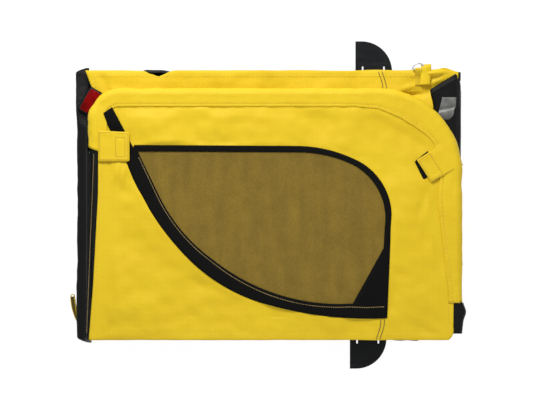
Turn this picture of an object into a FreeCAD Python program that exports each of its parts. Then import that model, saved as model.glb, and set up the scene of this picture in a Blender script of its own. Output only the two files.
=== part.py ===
"""A pet bicycle trailer, folded flat with its wheels, drawbar and roof bars taken off.

Frame: +X points to the front of the trailer, +Y to its left, +Z up. The origin is on the
ground at the middle of the folded trailer. All sizes are in millimetres.

The base is a welded frame of square tube. A bent hoop stands on each long side, on pivots that
run along X. The left hoop folds inwards onto the floor, and the right hoop folds over it.
"""

import FreeCAD, Part
import Sketcher
import math
import os

from FreeCAD import Placement, Rotation, Vector

SIZES = {
    # base frame of square tube
    "rail_size": 25.0,
    "rail_wall": 1.5,
    "rail_corner": 3.0,
    "rail_length": 740.0,
    "rail_spacing": 480.0,
    "crossbar_inset": 30.0,
    "cap_flange": 4.0,
    "cap_plug": 14.0,
    "weld_fit": 0.1,
    # wheel axle sleeves
    "axle_behind_middle": 97.0,
    "axle_bore": 12.2,
    "axle_sleeve_outer": 18.0,
    "axle_sleeve_length": 70.0,
    "axle_boss": 3.0,
    # drawbar receiver
    "receiver_wall": 2.0,
    "receiver_length": 110.0,
    "receiver_mouth_inset": 2.0,
    "drawbar_pin_hole": 8.5,
    "drawbar_pin_inset": 32.0,
    # floor
    "board_thickness": 4.0,
    "board_gap": 1.5,
    "board_overhang": 10.0,
    "board_corner": 18.0,
    "mat_thickness": 4.0,
    "soft_gap": 0.3,
    # pivots
    "pivot_height": 48.0,
    "pin_diameter": 8.0,
    "pin_play": 0.05,
    "pin_head": 13.0,
    "pin_head_thickness": 2.5,
    "lug_width": 12.0,
    "lug_radius": 9.5,
    "lug_side_play": 0.3,
    "ear_thickness": 3.0,
    "bracket_width": 26.0,
    "foot_wall": 2.9,
    "foot_length": 31.0,
    "foot_set_back": 16.0,
    "foot_floor": 6.0,
    # hoops
    "hoop_tube": 20.0,
    "hoop_wall": 1.5,
    "hoop_short_of_far_pivot": 25.0,
    "hoop_rear_inset": 32.0,
    "hoop_front_inset": 5.0,
    "hoop_rear_radius": 48.0,
    "hoop_front_radius": 152.0,
    "upper_offset": 34.0,
    # cloth sides
    "cloth_thickness": 2.7,
    "mesh_thickness": 1.4,
    "sleeve_rear_drop": 108.0,
    "sleeve_front_gap": 2.0,
    "panel_hem": 25.0,
    "panel_rear_flare": 10.0,
    "panel_rear_tuck": 6.0,
    "panel_front_tuck": 4.0,
    "panel_corner": 25.0,
    "window_rear_margin": 66.0,
    "window_front_margin": 126.0,
    "window_top_margin": 98.0,
    "window_bottom_margin": 19.0,
    "window_trim": 11.0,
    "zip_flap_width": 22.0,
    "zip_flap_tail": 96.0,
    "window_gusset": 63.0,
    # hook and loop tabs
    "tab_thickness": 2.5,
    "loop_thickness": 1.0,
    "rear_tab_length": 61.0,
    "rear_tab_width": 60.0,
    "rear_tab_from_top": 100.0,
    "rear_loop_reach": 9.0,
    "front_tab_length": 30.0,
    "front_tab_width": 54.0,
    "front_tab_turn": 33.0,
    "front_tab_angle": 9.0,
    "front_tab_inset": 21.5,
    "front_loop_reach": 6.0,
    "tab_corner": 4.0,
    # cloth ends, skirts and roof
    "rear_cloth_depth": 24.0,
    "rear_cloth_overhang": 10.0,
    "rear_cloth_fold": 5.0,
    "rear_cloth_top": 60.5,
    "skirt_thickness": 3.0,
    "skirt_offset": 19.0,
    "skirt_end_gap": 22.0,
    "right_skirt_top": 84.0,
    "left_skirt_top": 54.0,
    "apron_thickness": 6.0,
    "apron_height": 8.0,
    "roof_thickness": 6.0,
    "roof_end_gap": 91.5,
    "roof_side_gap": 45.0,
    "front_cloth_thickness": 5.0,
    "front_cloth_length": 168.0,
    "front_cloth_width": 58.0,
    "front_cloth_edge": 4.0,
    "corner_fold_length": 62.0,
    "corner_fold_reach": 9.5,
    "corner_fold_height": 30.0,
    "corner_fold_hang": 15.0,
    # reflectors
    "red_reflector_length": 52.0,
    "red_reflector_width": 30.0,
    "red_reflector_thickness": 5.5,
    "red_reflector_turn": -30.0,
    "red_reflector_behind_hoop": 8.0,
    "red_reflector_from_pivot": 40.0,
    "grey_patch_length": 45.0,
    "grey_patch_width": 28.0,
    "grey_patch_slant": 9.0,
    "grey_patch_thickness": 1.5,
    "grey_patch_drop": 12.0,
    # lashing ring and pull loop
    "ring_inner": 20.0,
    "ring_wire": 3.0,
    "ring_play": 0.1,
    "ring_behind_hoop_front": 71.0,
    "ring_reach": 26.0,
    "strap_width": 14.0,
    "strap_length": 34.0,
    "strap_wall": 1.6,
    "pull_loop_width": 22.0,
    "pull_loop_reach": 12.4,
    "pull_loop_length": 50.0,
    "pull_loop_thickness": 5.0,
    "pull_loop_from_right": 25.0,
    # wheel deflectors
    "deflector_from_front": 204.0,
    "deflector_stagger": 5.5,
    "deflector_width": 72.0,
    "deflector_reach": 70.0,
    "deflector_radius": 60.0,
    "deflector_sheet": 2.5,
    "deflector_height": 20.0,
    "deflector_flange": 16.0,
    "deflector_lip": 12.0,
    "keyhole_pitch": 42.0,
    "keyhole_inset": 14.0,
    "keyhole_from_rail": 7.0,
    "keyhole_head": 7.5,
    "keyhole_slot": 3.2,
    "keyhole_travel": 12.0,
    "screw_diameter": 6.0,
    "screw_play": 0.2,
    "screw_length": 12.0,
    "screw_head": 11.0,
    "screw_head_height": 3.3,
    "screw_drop": 8.0,
}

doc = FreeCAD.newDocument("folded_trailer")
sheet = doc.addObject("Spreadsheet::Sheet", "Sizes")
for row, (alias, value) in enumerate(SIZES.items(), start=1):
    sheet.set(f"A{row}", alias)
    sheet.set(f"B{row}", str(value))
    sheet.setAlias(f"B{row}", alias)
doc.recompute()

nodes = []


def size(alias):
    """The value of one cell of the sheet."""
    return float(sheet.get(alias))


def node(name, obj):
    """Keeps an object of the document as a finished sub-part."""
    obj.Label = name
    nodes.append(obj)
    return obj


def tie(obj, formulas):
    """Binds properties to formulas, in which a bare word is a cell of the sheet."""
    for prop, formula in formulas.items():
        words = formula.split()
        bound = ["Sizes." + w if w in SIZES else w for w in words]
        obj.setExpression(prop, " ".join(bound))
    return obj


def block(name, sizes, corner):
    """A box from three formulas for its sizes and three for its low corner."""
    box = doc.addObject("Part::Box", name)
    props = ("Length", "Width", "Height")
    places = ("Placement.Base.x", "Placement.Base.y", "Placement.Base.z")
    tie(box, dict(zip(props, sizes)))
    return tie(box, dict(zip(places, corner)))


TURN_TO = {
    "X": Rotation(Vector(0, 1, 0), 90),
    "Y": Rotation(Vector(1, 0, 0), -90),
    "Z": Rotation(),
}


def rod(name, along, radius, length, start):
    """A cylinder along an axis, from formulas for its radius, length and start."""
    cylinder = doc.addObject("Part::Cylinder", name)
    cylinder.Placement = Placement(Vector(), TURN_TO[along])
    places = ("Placement.Base.x", "Placement.Base.y", "Placement.Base.z")
    tie(cylinder, {"Radius": radius, "Height": length})
    return tie(cylinder, dict(zip(places, start)))


def fuse(name, pieces):
    """One solid out of several that meet."""
    joined = doc.addObject("Part::MultiFuse", name)
    joined.Shapes = pieces
    joined.Refine = True
    return joined


def cut(name, base, tools):
    """A base with every tool taken out of it."""
    for number, tool in enumerate(tools):
        result = doc.addObject("Part::Cut", f"{name}_{number}")
        result.Base = base
        result.Tool = tool
        base = result
    return base


def group(name, pieces):
    """Several separate solids in one sub-part."""
    compound = doc.addObject("Part::Compound", name)
    compound.Links = pieces
    return node(name, compound)


def rounded_along(name, box, axis, radius):
    """A box with its four long edges rounded."""
    doc.recompute()
    edges = []
    for number, edge in enumerate(box.Shape.Edges, start=1):
        if abs(edge.tangentAt(edge.FirstParameter).dot(axis)) > 0.99:
            edges.append((number, radius, radius))
    fillet = doc.addObject("Part::Fillet", name)
    fillet.Base = box
    fillet.Edges = edges
    return fillet


def solid(name, shape, place=None):
    """A sub-part whose shape is worked out from the sheet's sizes."""
    feature = doc.addObject("Part::Feature", name)
    feature.Shape = shape
    if place is not None:
        feature.Placement = place
    return node(name, feature)


def outline(start, *steps):
    """A face in XY. A step is a point to draw a line to, or an arc's middle and end points."""
    edges = []
    here = Vector(*start, 0)
    for step in steps:
        if len(step) == 2 and not hasattr(step[0], "__len__"):
            there = Vector(*step, 0)
            edges.append(Part.LineSegment(here, there).toShape())
        else:
            there = Vector(*step[1], 0)
            edges.append(Part.Arc(here, Vector(*step[0], 0), there).toShape())
        here = there
    return Part.Face(Part.Wire(edges))


def raised(face, low, thickness):
    """A flat piece of cloth or sheet from its outline, its underside's height and thickness."""
    flat = face.copy()
    flat.translate(Vector(0, 0, low))
    return flat.extrude(Vector(0, 0, thickness))


def quarter(centre, radius, degrees):
    """The middle and end points of a quarter arc that ends at an angle, going clockwise."""
    middle = math.radians(degrees + 45)
    end = math.radians(degrees)
    points = []
    for angle in (middle, end):
        points.append((centre[0] + radius * math.cos(angle), centre[1] + radius * math.sin(angle)))
    return tuple(points)


SIDES = {"right": -1, "left": 1}
SIGN_TEXT = {"right": "-1", "left": "1"}


# Base frame

def rail(side):
    """One long rail of the base, with holes for its axle sleeve and its deflector's screws."""
    sign = SIGN_TEXT[side]
    middle = f"{sign} * rail_spacing / 2"
    outer = block(
        f"{side}_rail_outside",
        ("rail_length", "rail_size", "rail_size"),
        ("-0.5 * rail_length", f"{middle} - rail_size / 2", "0 mm"),
    )
    outer = rounded_along(f"{side}_rail_rounded", outer, Vector(1, 0, 0), size("rail_corner"))
    hollow = block(
        f"{side}_rail_hollow",
        ("rail_length", "rail_size - 2 * rail_wall", "rail_size - 2 * rail_wall"),
        ("-0.5 * rail_length", f"{middle} - rail_size / 2 + rail_wall", "rail_wall"),
    )
    sleeve_hole = rod(
        f"{side}_rail_sleeve_hole", "Y", "axle_sleeve_outer / 2 + weld_fit", "2 * rail_size",
        ("-1 * axle_behind_middle", f"{middle} - rail_size", "rail_size / 2"),
    )
    tools = [hollow, sleeve_hole]
    for number in range(2):
        hole = rod(
            f"{side}_rail_screw_hole_{number}", "Y", "screw_diameter / 2 + screw_play", "rail_size / 2",
            (
                f"rail_length / 2 - deflector_from_front + {sign} * deflector_stagger"
                f" + keyhole_inset + {number} * keyhole_pitch",
                f"{middle} + {sign} * rail_size / 2 - rail_size / 4",
                "deflector_height - screw_drop",
            ),
        )
        tools.append(hole)
    return node(f"{side}_rail", cut(f"{side}_rail_cut", outer, tools))


def crossbar(name, x, low_y, length):
    """A square tube across the base, from its middle in X, its right end and its length."""
    outer = block(
        f"{name}_outside", ("rail_size", length, "rail_size"),
        (f"{x} - rail_size / 2", low_y, "0 mm"),
    )
    outer = rounded_along(f"{name}_rounded", outer, Vector(0, 1, 0), size("rail_corner"))
    hollow = block(
        f"{name}_hollow", ("rail_size - 2 * rail_wall", length, "rail_size - 2 * rail_wall"),
        (f"{x} - rail_size / 2 + rail_wall", low_y, "rail_wall"),
    )
    return node(name, cut(f"{name}_cut", outer, [hollow]))


def end_caps():
    """Plastic plugs in the four open ends of the rails."""
    caps = []
    for side, sign in SIGN_TEXT.items():
        for end, turn in (("front", "1"), ("rear", "-1")):
            name = f"{end}_{side}_cap"
            face_x = f"{turn} * ( rail_length / 2 + cap_flange / 2 ) - cap_flange / 2"
            plug_x = f"{turn} * ( rail_length / 2 - cap_plug / 2 ) - cap_plug / 2"
            flange = block(
                f"{name}_flange", ("cap_flange", "rail_size", "rail_size"),
                (face_x, f"{sign} * rail_spacing / 2 - rail_size / 2", "0 mm"),
            )
            flange = rounded_along(f"{name}_rounded", flange, Vector(1, 0, 0), size("rail_corner"))
            inside = "rail_size - 2 * rail_wall - 2 * weld_fit"
            plug = block(
                f"{name}_plug", ("cap_plug", inside, inside),
                (
                    plug_x,
                    f"{sign} * rail_spacing / 2 - rail_size / 2 + rail_wall + weld_fit",
                    "rail_wall + weld_fit",
                ),
            )
            caps.append(fuse(name, [flange, plug]))
    return group("rail_end_caps", caps)


def axle_sleeves():
    """Two bored sleeves through the rails, in which the wheels' stub axles seat."""
    sleeves = []
    for side, sign in SIGN_TEXT.items():
        outer_end = f"{sign} * ( rail_spacing / 2 + rail_size / 2 + axle_boss )"
        low = f"{outer_end} - ( {sign} + 1 ) / 2 * axle_sleeve_length"
        start = ("-1 * axle_behind_middle", low, "rail_size / 2")
        tube = rod(f"{side}_sleeve_tube", "Y", "axle_sleeve_outer / 2", "axle_sleeve_length", start)
        bore = rod(f"{side}_sleeve_bore", "Y", "axle_bore / 2", "axle_sleeve_length", start)
        sleeves.append(cut(f"{side}_sleeve", tube, [bore]))
    return group("axle_sleeves", sleeves)


def drawbar_receiver():
    """A square socket beside the left rail, open to the front, with a pin hole through it."""
    start_x = "rail_length / 2 - receiver_mouth_inset - receiver_length"
    start_y = "rail_spacing / 2 - 1.5 * rail_size"
    outer = block(
        "receiver_outside", ("receiver_length", "rail_size", "rail_size"),
        (start_x, start_y, "0 mm"),
    )
    inside = "rail_size - 2 * receiver_wall"
    hollow = block(
        "receiver_hollow", ("receiver_length", inside, inside),
        (start_x, f"{start_y} + receiver_wall", "receiver_wall"),
    )
    pin_hole = rod(
        "receiver_pin_hole", "Z", "drawbar_pin_hole / 2", "rail_size",
        (
            "rail_length / 2 - receiver_mouth_inset - drawbar_pin_inset",
            "rail_spacing / 2 - rail_size",
            "0 mm",
        ),
    )
    return node("drawbar_receiver", cut("receiver", outer, [hollow, pin_hole]))


def floor_layer(name, thickness, low):
    """A rounded rectangular layer of the floor, as a padded sketch."""
    body = doc.addObject("PartDesign::Body", f"{name}_body")
    sketch = body.newObject("Sketcher::SketchObject", f"{name}_sketch")
    plane = [f for f in body.Origin.OriginFeatures if f.Role == "XY_Plane"][0]
    sketch.AttachmentSupport = [(plane, "")]
    sketch.MapMode = "FlatFace"
    long_half = size("rail_length") / 2 - size("crossbar_inset") + size("board_overhang")
    wide_half = size("rail_spacing") / 2 - size("rail_size") / 2 - size("board_gap")
    corners = [(-1, -1), (1, -1), (1, 1), (-1, 1)]
    points = [Vector(sx * long_half, sy * wide_half, 0) for sx, sy in corners]
    for number, point in enumerate(points):
        sketch.addGeometry(Part.LineSegment(point, points[(number + 1) % 4]))
    add = sketch.addConstraint
    for number in range(4):
        add(Sketcher.Constraint("Coincident", number, 2, (number + 1) % 4, 1))
    for number, way in enumerate(("Horizontal", "Vertical", "Horizontal", "Vertical")):
        add(Sketcher.Constraint(way, number))
    add(Sketcher.Constraint("Symmetric", 0, 1, 1, 2, -1, 1))
    length = add(Sketcher.Constraint("Distance", 0, 2 * long_half))
    width = add(Sketcher.Constraint("Distance", 1, 2 * wide_half))
    tie(sketch, {
        f"Constraints[{length}]": "rail_length - 2 * crossbar_inset + 2 * board_overhang",
        f"Constraints[{width}]": "rail_spacing - rail_size - 2 * board_gap",
    })
    pad = body.newObject("PartDesign::Pad", f"{name}_pad")
    pad.Profile = sketch
    tie(pad, {"Length": thickness})
    doc.recompute()
    upright = []
    for number, edge in enumerate(pad.Shape.Edges, start=1):
        if abs(edge.tangentAt(edge.FirstParameter).z) > 0.99:
            upright.append(f"Edge{number}")
    fillet = body.newObject("PartDesign::Fillet", f"{name}_corners")
    fillet.Base = (pad, upright)
    tie(fillet, {"Radius": "board_corner"})
    body.Tip = fillet
    tie(body, {"Placement.Base.z": low})
    return node(name, body)


# Pivots

def pivot_x(end):
    """A formula for the middle of a hoop's rear or front leg in X."""
    if end == "rear":
        return "hoop_rear_inset - rail_length / 2"
    return "rail_length / 2 - hoop_front_inset"


def pivot_brackets(side):
    """Two forked brackets on a rail. Their ears hold the pivot pins of a hoop."""
    sign = SIGN_TEXT[side]
    axis_y = f"{sign} * rail_spacing / 2"
    brackets = []
    for end in ("rear", "front"):
        name = f"{side}_{end}_bracket"
        half = "( lug_width / 2 + lug_side_play + ear_thickness )"
        foot = block(
            f"{name}_foot", (f"2 * {half}", "bracket_width", "ear_thickness"),
            (f"{pivot_x(end)} - {half}", f"{axis_y} - bracket_width / 2", "rail_size"),
        )
        pieces = [foot]
        for number, low_x in enumerate((f"-1 * {half}", f"{half} - ear_thickness")):
            web = block(
                f"{name}_web_{number}",
                ("ear_thickness", "2 * lug_radius", "pivot_height - rail_size"),
                (f"{pivot_x(end)} + {low_x}", f"{axis_y} - lug_radius", "rail_size"),
            )
            ear = rod(
                f"{name}_ear_{number}", "X", "lug_radius", "ear_thickness",
                (f"{pivot_x(end)} + {low_x}", axis_y, "pivot_height"),
            )
            pieces += [web, ear]
        hole = rod(
            f"{name}_hole", "X", "pin_diameter / 2 + pin_play", f"4 * {half}",
            (f"{pivot_x(end)} - 2 * {half}", axis_y, "pivot_height"),
        )
        brackets.append(cut(name, fuse(f"{name}_blank", pieces), [hole]))
    return group(f"{side}_pivot_brackets", brackets)


def pivot_pins(side):
    """A headed pin through each bracket, closed by a flat rivet head."""
    sign = SIGN_TEXT[side]
    axis_y = f"{sign} * rail_spacing / 2"
    half = "( lug_width / 2 + lug_side_play + ear_thickness + soft_gap )"
    pins = []
    for end in ("rear", "front"):
        name = f"{side}_{end}_pin"
        shank = rod(
            f"{name}_shank", "X", "pin_diameter / 2", f"2 * {half}",
            (f"{pivot_x(end)} - {half}", axis_y, "pivot_height"),
        )
        heads = []
        for number, low_x in enumerate((f"-1 * {half} - pin_head_thickness", half)):
            head = rod(
                f"{name}_head_{number}", "X", "pin_head / 2", "pin_head_thickness",
                (f"{pivot_x(end)} + {low_x}", axis_y, "pivot_height"),
            )
            heads.append(head)
        pins.append(fuse(name, [shank] + heads))
    return group(f"{side}_pivot_pins", pins)


# Hinged sides, drawn flat: x along the trailer, v from the pivot axis to the hoop's top, and
# height from the middle of the hoop's tube

REAR_X = size("hoop_rear_inset") - size("rail_length") / 2
FRONT_X = size("rail_length") / 2 - size("hoop_front_inset")
TOP = size("rail_spacing") - size("hoop_short_of_far_pivot")
TUBE_R = size("hoop_tube") / 2
SLEEVE_IN = TUBE_R + size("soft_gap")
SLEEVE_OUT = SLEEVE_IN + size("cloth_thickness")
FOOT_END = size("foot_set_back") + size("foot_floor")
SLEEVE_REAR_END = TOP - size("sleeve_rear_drop")
SLEEVE_FRONT_END = size("foot_set_back") + size("foot_length") + size("sleeve_front_gap")


def side_place(side):
    """Where a hinged side's flat drawing lies in the folded trailer."""
    height = size("pivot_height")
    if side == "right":
        height += size("upper_offset")
    return Placement(Vector(0, SIDES[side] * size("rail_spacing") / 2, height), Rotation())


def side_solid(side, name, shape):
    """A piece of a hinged side. The left side is the right one's mirror image."""
    if side == "left":
        shape = shape.mirror(Vector(), Vector(0, 1, 0))
    return solid(f"{side}_{name}", shape, side_place(side))


def hoop_path(rear_end, front_end):
    """The hoop's centre line, from a point on its rear leg to a point on its front leg."""
    rear_r = size("hoop_rear_radius")
    front_r = size("hoop_front_radius")
    rear_mid, rear_top = quarter((REAR_X + rear_r, TOP - rear_r), rear_r, 90)
    front_mid, front_low = quarter((FRONT_X - front_r, TOP - front_r), front_r, 0)
    rear_turn = Vector(REAR_X, TOP - rear_r, 0)
    front_turn = Vector(FRONT_X - front_r, TOP, 0)
    edges = [
        Part.LineSegment(Vector(REAR_X, rear_end, 0), rear_turn),
        Part.Arc(rear_turn, Vector(*rear_mid, 0), Vector(*rear_top, 0)),
        Part.LineSegment(Vector(*rear_top, 0), front_turn),
        Part.Arc(front_turn, Vector(*front_mid, 0), Vector(*front_low, 0)),
        Part.LineSegment(Vector(*front_low, 0), Vector(FRONT_X, front_end, 0)),
    ]
    return Part.Wire([edge.toShape() for edge in edges])


def pipe(path, radius):
    """A round bar along a path that starts along +v."""
    start = path.Edges[0].Vertexes[0].Point
    ring = Part.Wire([Part.makeCircle(radius, start, Vector(0, 1, 0))])
    return path.makePipe(Part.Face(ring))


def hoop(side):
    """The bent steel tube of one side."""
    path = hoop_path(FOOT_END, FOOT_END)
    tube = pipe(path, TUBE_R).cut(pipe(path, TUBE_R - size("hoop_wall")))
    return side_solid(side, "hoop", tube)


def leg_feet(side):
    """Moulded feet on a hoop's two legs, each with a cup for the tube and a lug for its pin.

    The cup is open along the top, where the side panel's cloth lies. The upper side's lugs reach
    down to the pivot, so that it lies over the lower side.
    """
    drop = size("upper_offset") if side == "right" else 0.0
    cup_r = TUBE_R + size("weld_fit") + size("foot_wall")
    lug_r = size("lug_radius")
    back = size("foot_set_back")
    feet = []
    for x in (REAR_X, FRONT_X):
        cup = Part.makeCylinder(cup_r, size("foot_length"), Vector(x, back, 0), Vector(0, 1, 0))
        pivot = Vector(x - size("lug_width") / 2, 0, -drop)
        crown = Vector(x - size("lug_width") / 2, back + lug_r, 0)
        along = (crown - pivot).normalize()
        across = Vector(0, -along.z, along.y) * lug_r
        corners = [pivot + across, crown + across, crown - across, pivot - across, pivot + across]
        web = Part.Face(Part.makePolygon(corners)).extrude(Vector(size("lug_width"), 0, 0))
        lug = Part.makeCylinder(lug_r, size("lug_width"), pivot, Vector(1, 0, 0))
        foot = cup.fuse([web, lug])
        socket = Part.makeCylinder(
            TUBE_R + size("weld_fit"), size("foot_length"), Vector(x, FOOT_END, 0), Vector(0, 1, 0)
        )
        hole_r = size("pin_diameter") / 2 + size("pin_play")
        hole = Part.makeCylinder(hole_r, size("lug_width"), pivot, Vector(1, 0, 0))
        lid = Part.makeBox(
            4 * cup_r, 4 * size("foot_length"), cup_r,
            Vector(x - 2 * cup_r, -size("foot_length"), TUBE_R - size("weld_fit")),
        )
        feet.append(foot.cut([socket, hole, lid]).removeSplitter())
    return side_solid(side, "leg_feet", Part.makeCompound(feet))


def hoop_sleeve(side):
    """The sewn cloth sleeve round the hoop, open along the top where the side panel lies."""
    path = hoop_path(SLEEVE_REAR_END, SLEEVE_FRONT_END)
    ring = pipe(path, SLEEVE_OUT).cut(pipe(path, SLEEVE_IN))
    lid_start = Vector(REAR_X - 2 * SLEEVE_OUT, -TOP, TUBE_R)
    lid = Part.makeBox(FRONT_X - REAR_X + 4 * SLEEVE_OUT, 3 * TOP, SLEEVE_OUT, lid_start)
    return side_solid(side, "hoop_sleeve", ring.cut(lid))


def panel_outline():
    """The side panel's outer edge: round the sleeve, down to the hem and past the pivots."""
    rear_r = size("hoop_rear_radius")
    front_r = size("hoop_front_radius")
    hem = size("panel_hem")
    corner = size("panel_corner")
    front_hem_x = FRONT_X - size("panel_front_tuck")
    return outline(
        (REAR_X - size("panel_rear_flare"), -hem),
        (REAR_X + size("panel_rear_tuck"), SLEEVE_REAR_END),
        (REAR_X - SLEEVE_OUT, SLEEVE_REAR_END),
        (REAR_X - SLEEVE_OUT, TOP - rear_r),
        quarter((REAR_X + rear_r, TOP - rear_r), rear_r + SLEEVE_OUT, 90),
        (FRONT_X - front_r, TOP + SLEEVE_OUT),
        quarter((FRONT_X - front_r, TOP - front_r), front_r + SLEEVE_OUT, 0),
        (FRONT_X + SLEEVE_OUT, SLEEVE_FRONT_END),
        (front_hem_x, SLEEVE_FRONT_END),
        (front_hem_x, corner - hem),
        quarter((front_hem_x - corner, corner - hem), corner, -90),
        (REAR_X - size("panel_rear_flare"), -hem),
    )


def rear_leg_sleeve(side):
    """The black cloth sleeve round the hoop's rear leg, cut away under the side panel."""
    start = Vector(REAR_X, size("foot_set_back") + size("foot_length") + size("soft_gap"), 0)
    length = SLEEVE_REAR_END - size("soft_gap") - start.y
    outer = Part.makeCylinder(SLEEVE_OUT, length, start, Vector(0, 1, 0))
    inner = Part.makeCylinder(SLEEVE_IN, length, start, Vector(0, 1, 0))
    room = raised(panel_outline(), TUBE_R, SLEEVE_OUT)
    return side_solid(side, "rear_leg_sleeve", outer.cut([inner, room]))


def window_frame():
    """The window's low and high corners, from its margins inside the hoop."""
    low = (REAR_X + size("window_rear_margin"), size("window_bottom_margin"))
    high = (FRONT_X - size("window_front_margin"), TOP - size("window_top_margin"))
    return low, high


def in_window(across, up, inset=0.0):
    """A point of the window, by its shares of the window's length and height."""
    low, high = window_frame()
    x = low[0] + inset + across * (high[0] - low[0] - 2 * inset)
    v = low[1] + inset + up * (high[1] - low[1] - 2 * inset)
    return (x, v)


def flap_tail():
    """The far end of the zip flap's tail, its two corners, towards the hoop's rear corner."""
    tip = in_window(0.0, 0.94)
    lean = math.radians(118)
    reach = Vector(math.cos(lean), math.sin(lean), 0) * size("zip_flap_tail")
    width = Vector(math.sin(lean), -math.cos(lean), 0) * size("zip_flap_width")
    far = Vector(*tip, 0) + reach
    near = far + width
    return (far.x, far.y), (near.x, near.y)


def window_outside():
    """The window's trim from outside: straight top, swept front corner and long zip curve."""
    far, near = flap_tail()
    face = outline(
        near,
        in_window(0.02, 1.0),
        in_window(0.65, 1.0),
        (in_window(0.885, 0.9), in_window(1.0, 0.53)),
        in_window(0.985, 0.0),
        (in_window(0.61, 0.05), in_window(0.3, 0.26)),
        (in_window(0.11, 0.56), in_window(-0.01, 0.9)),
        far,
        near,
    )
    return face


def window_inside():
    """The mesh's outline: inside the trim, with a gusset across its lower front corner."""
    trim = size("window_trim")
    flap = size("zip_flap_width")
    gusset = size("window_gusset")
    low, high = window_frame()
    gusset_low = (high[0] - trim - gusset, low[1] + flap + 6)
    gusset_high = (high[0] - trim, in_window(1.0, 0.417)[1])
    top_rear = (low[0] + flap - 6, high[1] - trim)
    mid_rear = in_window(0.32, 0.335)
    bend = in_window(0.53, 0.155)
    upper_bend = in_window(0.14, 0.61)
    return outline(
        top_rear,
        in_window(0.65, 1.0, trim),
        (in_window(0.875, 0.9, trim), (high[0] - trim, low[1] + 0.53 * (high[1] - low[1]))),
        gusset_high,
        gusset_low,
        (bend, mid_rear),
        (upper_bend, top_rear),
    )


def side_panel(side):
    """The coated cloth of one side, cut out for its window, over the hoop's outer face."""
    cloth = raised(panel_outline(), SLEEVE_IN, size("cloth_thickness"))
    opening = raised(window_outside(), 0, 2 * SLEEVE_OUT)
    return side_solid(side, "side_panel", cloth.cut(opening))


def window_trim(side):
    """The black trim round the window, with the zip's flap and its tail."""
    trim = raised(window_outside(), SLEEVE_IN, size("cloth_thickness"))
    opening = raised(window_inside(), 0, 2 * SLEEVE_OUT)
    return side_solid(side, "window_trim", trim.cut(opening))


def window_mesh(side):
    """The see-through mesh, held in the trim."""
    mesh = window_inside()
    low = SLEEVE_IN + (size("cloth_thickness") - size("mesh_thickness")) / 2
    return side_solid(side, "window_mesh", raised(mesh, low, size("mesh_thickness")))


# Hook and loop tabs

def tab_outline(length, width):
    """A tab that is sewn on along its right edge at the origin, with two rounded free corners."""
    r = size("tab_corner")
    half = width / 2
    return outline(
        (0, -half),
        (-(length - r), -half),
        quarter((-(length - r), r - half), r, 180),
        (-length, half - r),
        quarter((-(length - r), half - r), r, 90),
        (0, half),
        (0, -half),
    )


def rear_tab_seam():
    """The middle of the rear tab's sewn edge, beside the hoop's rear leg."""
    return Vector(REAR_X + size("panel_rear_tuck"), TOP - size("rear_tab_from_top"), 0)


def front_tab_seam():
    """The middle of the front tab's sewn edge, on the seam inside the hoop's front curve."""
    front_r = size("hoop_front_radius")
    turn = math.radians(size("front_tab_angle"))
    radius = front_r - SLEEVE_OUT - size("front_tab_inset")
    centre = Vector(FRONT_X - front_r, TOP - front_r, 0)
    return centre + Vector(math.cos(turn), math.sin(turn), 0) * radius


def tab_shapes(side):
    """The rear and front tabs of one side, and the loop patches that they close on."""
    patch_low = SLEEVE_OUT
    tab_low = patch_low + size("loop_thickness") + size("soft_gap")
    made = {}
    plans = (
        ("rear", rear_tab_seam(), 180.0, size("rear_tab_length"), size("rear_tab_width"),
         size("rear_loop_reach")),
        ("front", front_tab_seam(), size("front_tab_turn"), size("front_tab_length"),
         size("front_tab_width"), size("front_loop_reach")),
    )
    for end, seam, turn, length, width, reach in plans:
        place = Placement(seam, Rotation(Vector(0, 0, 1), turn))
        tab_face = tab_outline(length, width)
        tab_face.Placement = place
        patch_face = tab_outline(length + reach, width - reach)
        patch_face.Placement = place
        tab = raised(tab_face, tab_low, size("tab_thickness"))
        made[end] = (tab, raised(patch_face, patch_low, size("loop_thickness")))
    return made


def tabs(side):
    """Two tabs on a side and the patches under them."""
    made = tab_shapes(side)
    for end, (tab, _) in made.items():
        side_solid(side, f"{end}_tab", tab)
    patches = [patch for _, patch in made.values()]
    return side_solid(side, "loop_patches", Part.makeCompound(patches))


# Cloth ends, skirts and roof

def left_top():
    """The height of the lower side's outer face, on which the folded cloth lies."""
    return size("pivot_height") + SLEEVE_OUT


def rear_cloth():
    """The rear end's cloth, folded into soft pleats behind the hoops, above the rail ends."""
    low = size("rail_size") + size("soft_gap")
    high = size("rear_cloth_top")
    front = REAR_X - SLEEVE_OUT - 2 * size("soft_gap") - size("weld_fit")
    back = front - size("rear_cloth_depth")
    fold = size("rear_cloth_fold")
    length = size("rail_spacing") + size("rail_size") + 2 * size("rear_cloth_overhang")
    pleats = 3
    step = (high - low) / pleats
    steps = []
    for number in range(pleats):
        start = low + number * step
        steps.append(((back, start + step / 2), (back + fold, start + step)))
    face = outline((front, low), (back + fold, low), *steps, (front, high), (front, low))
    upright = face.copy()
    upright.rotate(Vector(), Vector(1, 0, 0), 90)
    upright.translate(Vector(0, length / 2, 0))
    return solid("rear_cloth", upright.extrude(Vector(0, -length, 0)))


def side_skirt(side):
    """Cloth that closes the gap between a rail and its side panel, between the legs."""
    sign = SIDES[side]
    low = size("rail_size") + size("soft_gap")
    start = REAR_X + size("skirt_end_gap")
    length = FRONT_X - REAR_X - 2 * size("skirt_end_gap")
    inner = sign * (size("rail_spacing") / 2 + size("skirt_offset"))
    outer = inner + sign * size("skirt_thickness")
    high = size(f"{side}_skirt_top")
    foot = sign * size("rail_spacing") / 2
    rest = low + size("skirt_thickness")
    points = [(foot, low), (outer, low), (outer, high), (inner, high), (inner, rest), (foot, rest)]
    corners = [Vector(start, y, z) for y, z in points]
    corners.append(corners[0])
    face = Part.Face(Part.makePolygon(corners))
    return solid(f"{side}_skirt", face.extrude(Vector(length, 0, 0)))


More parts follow.
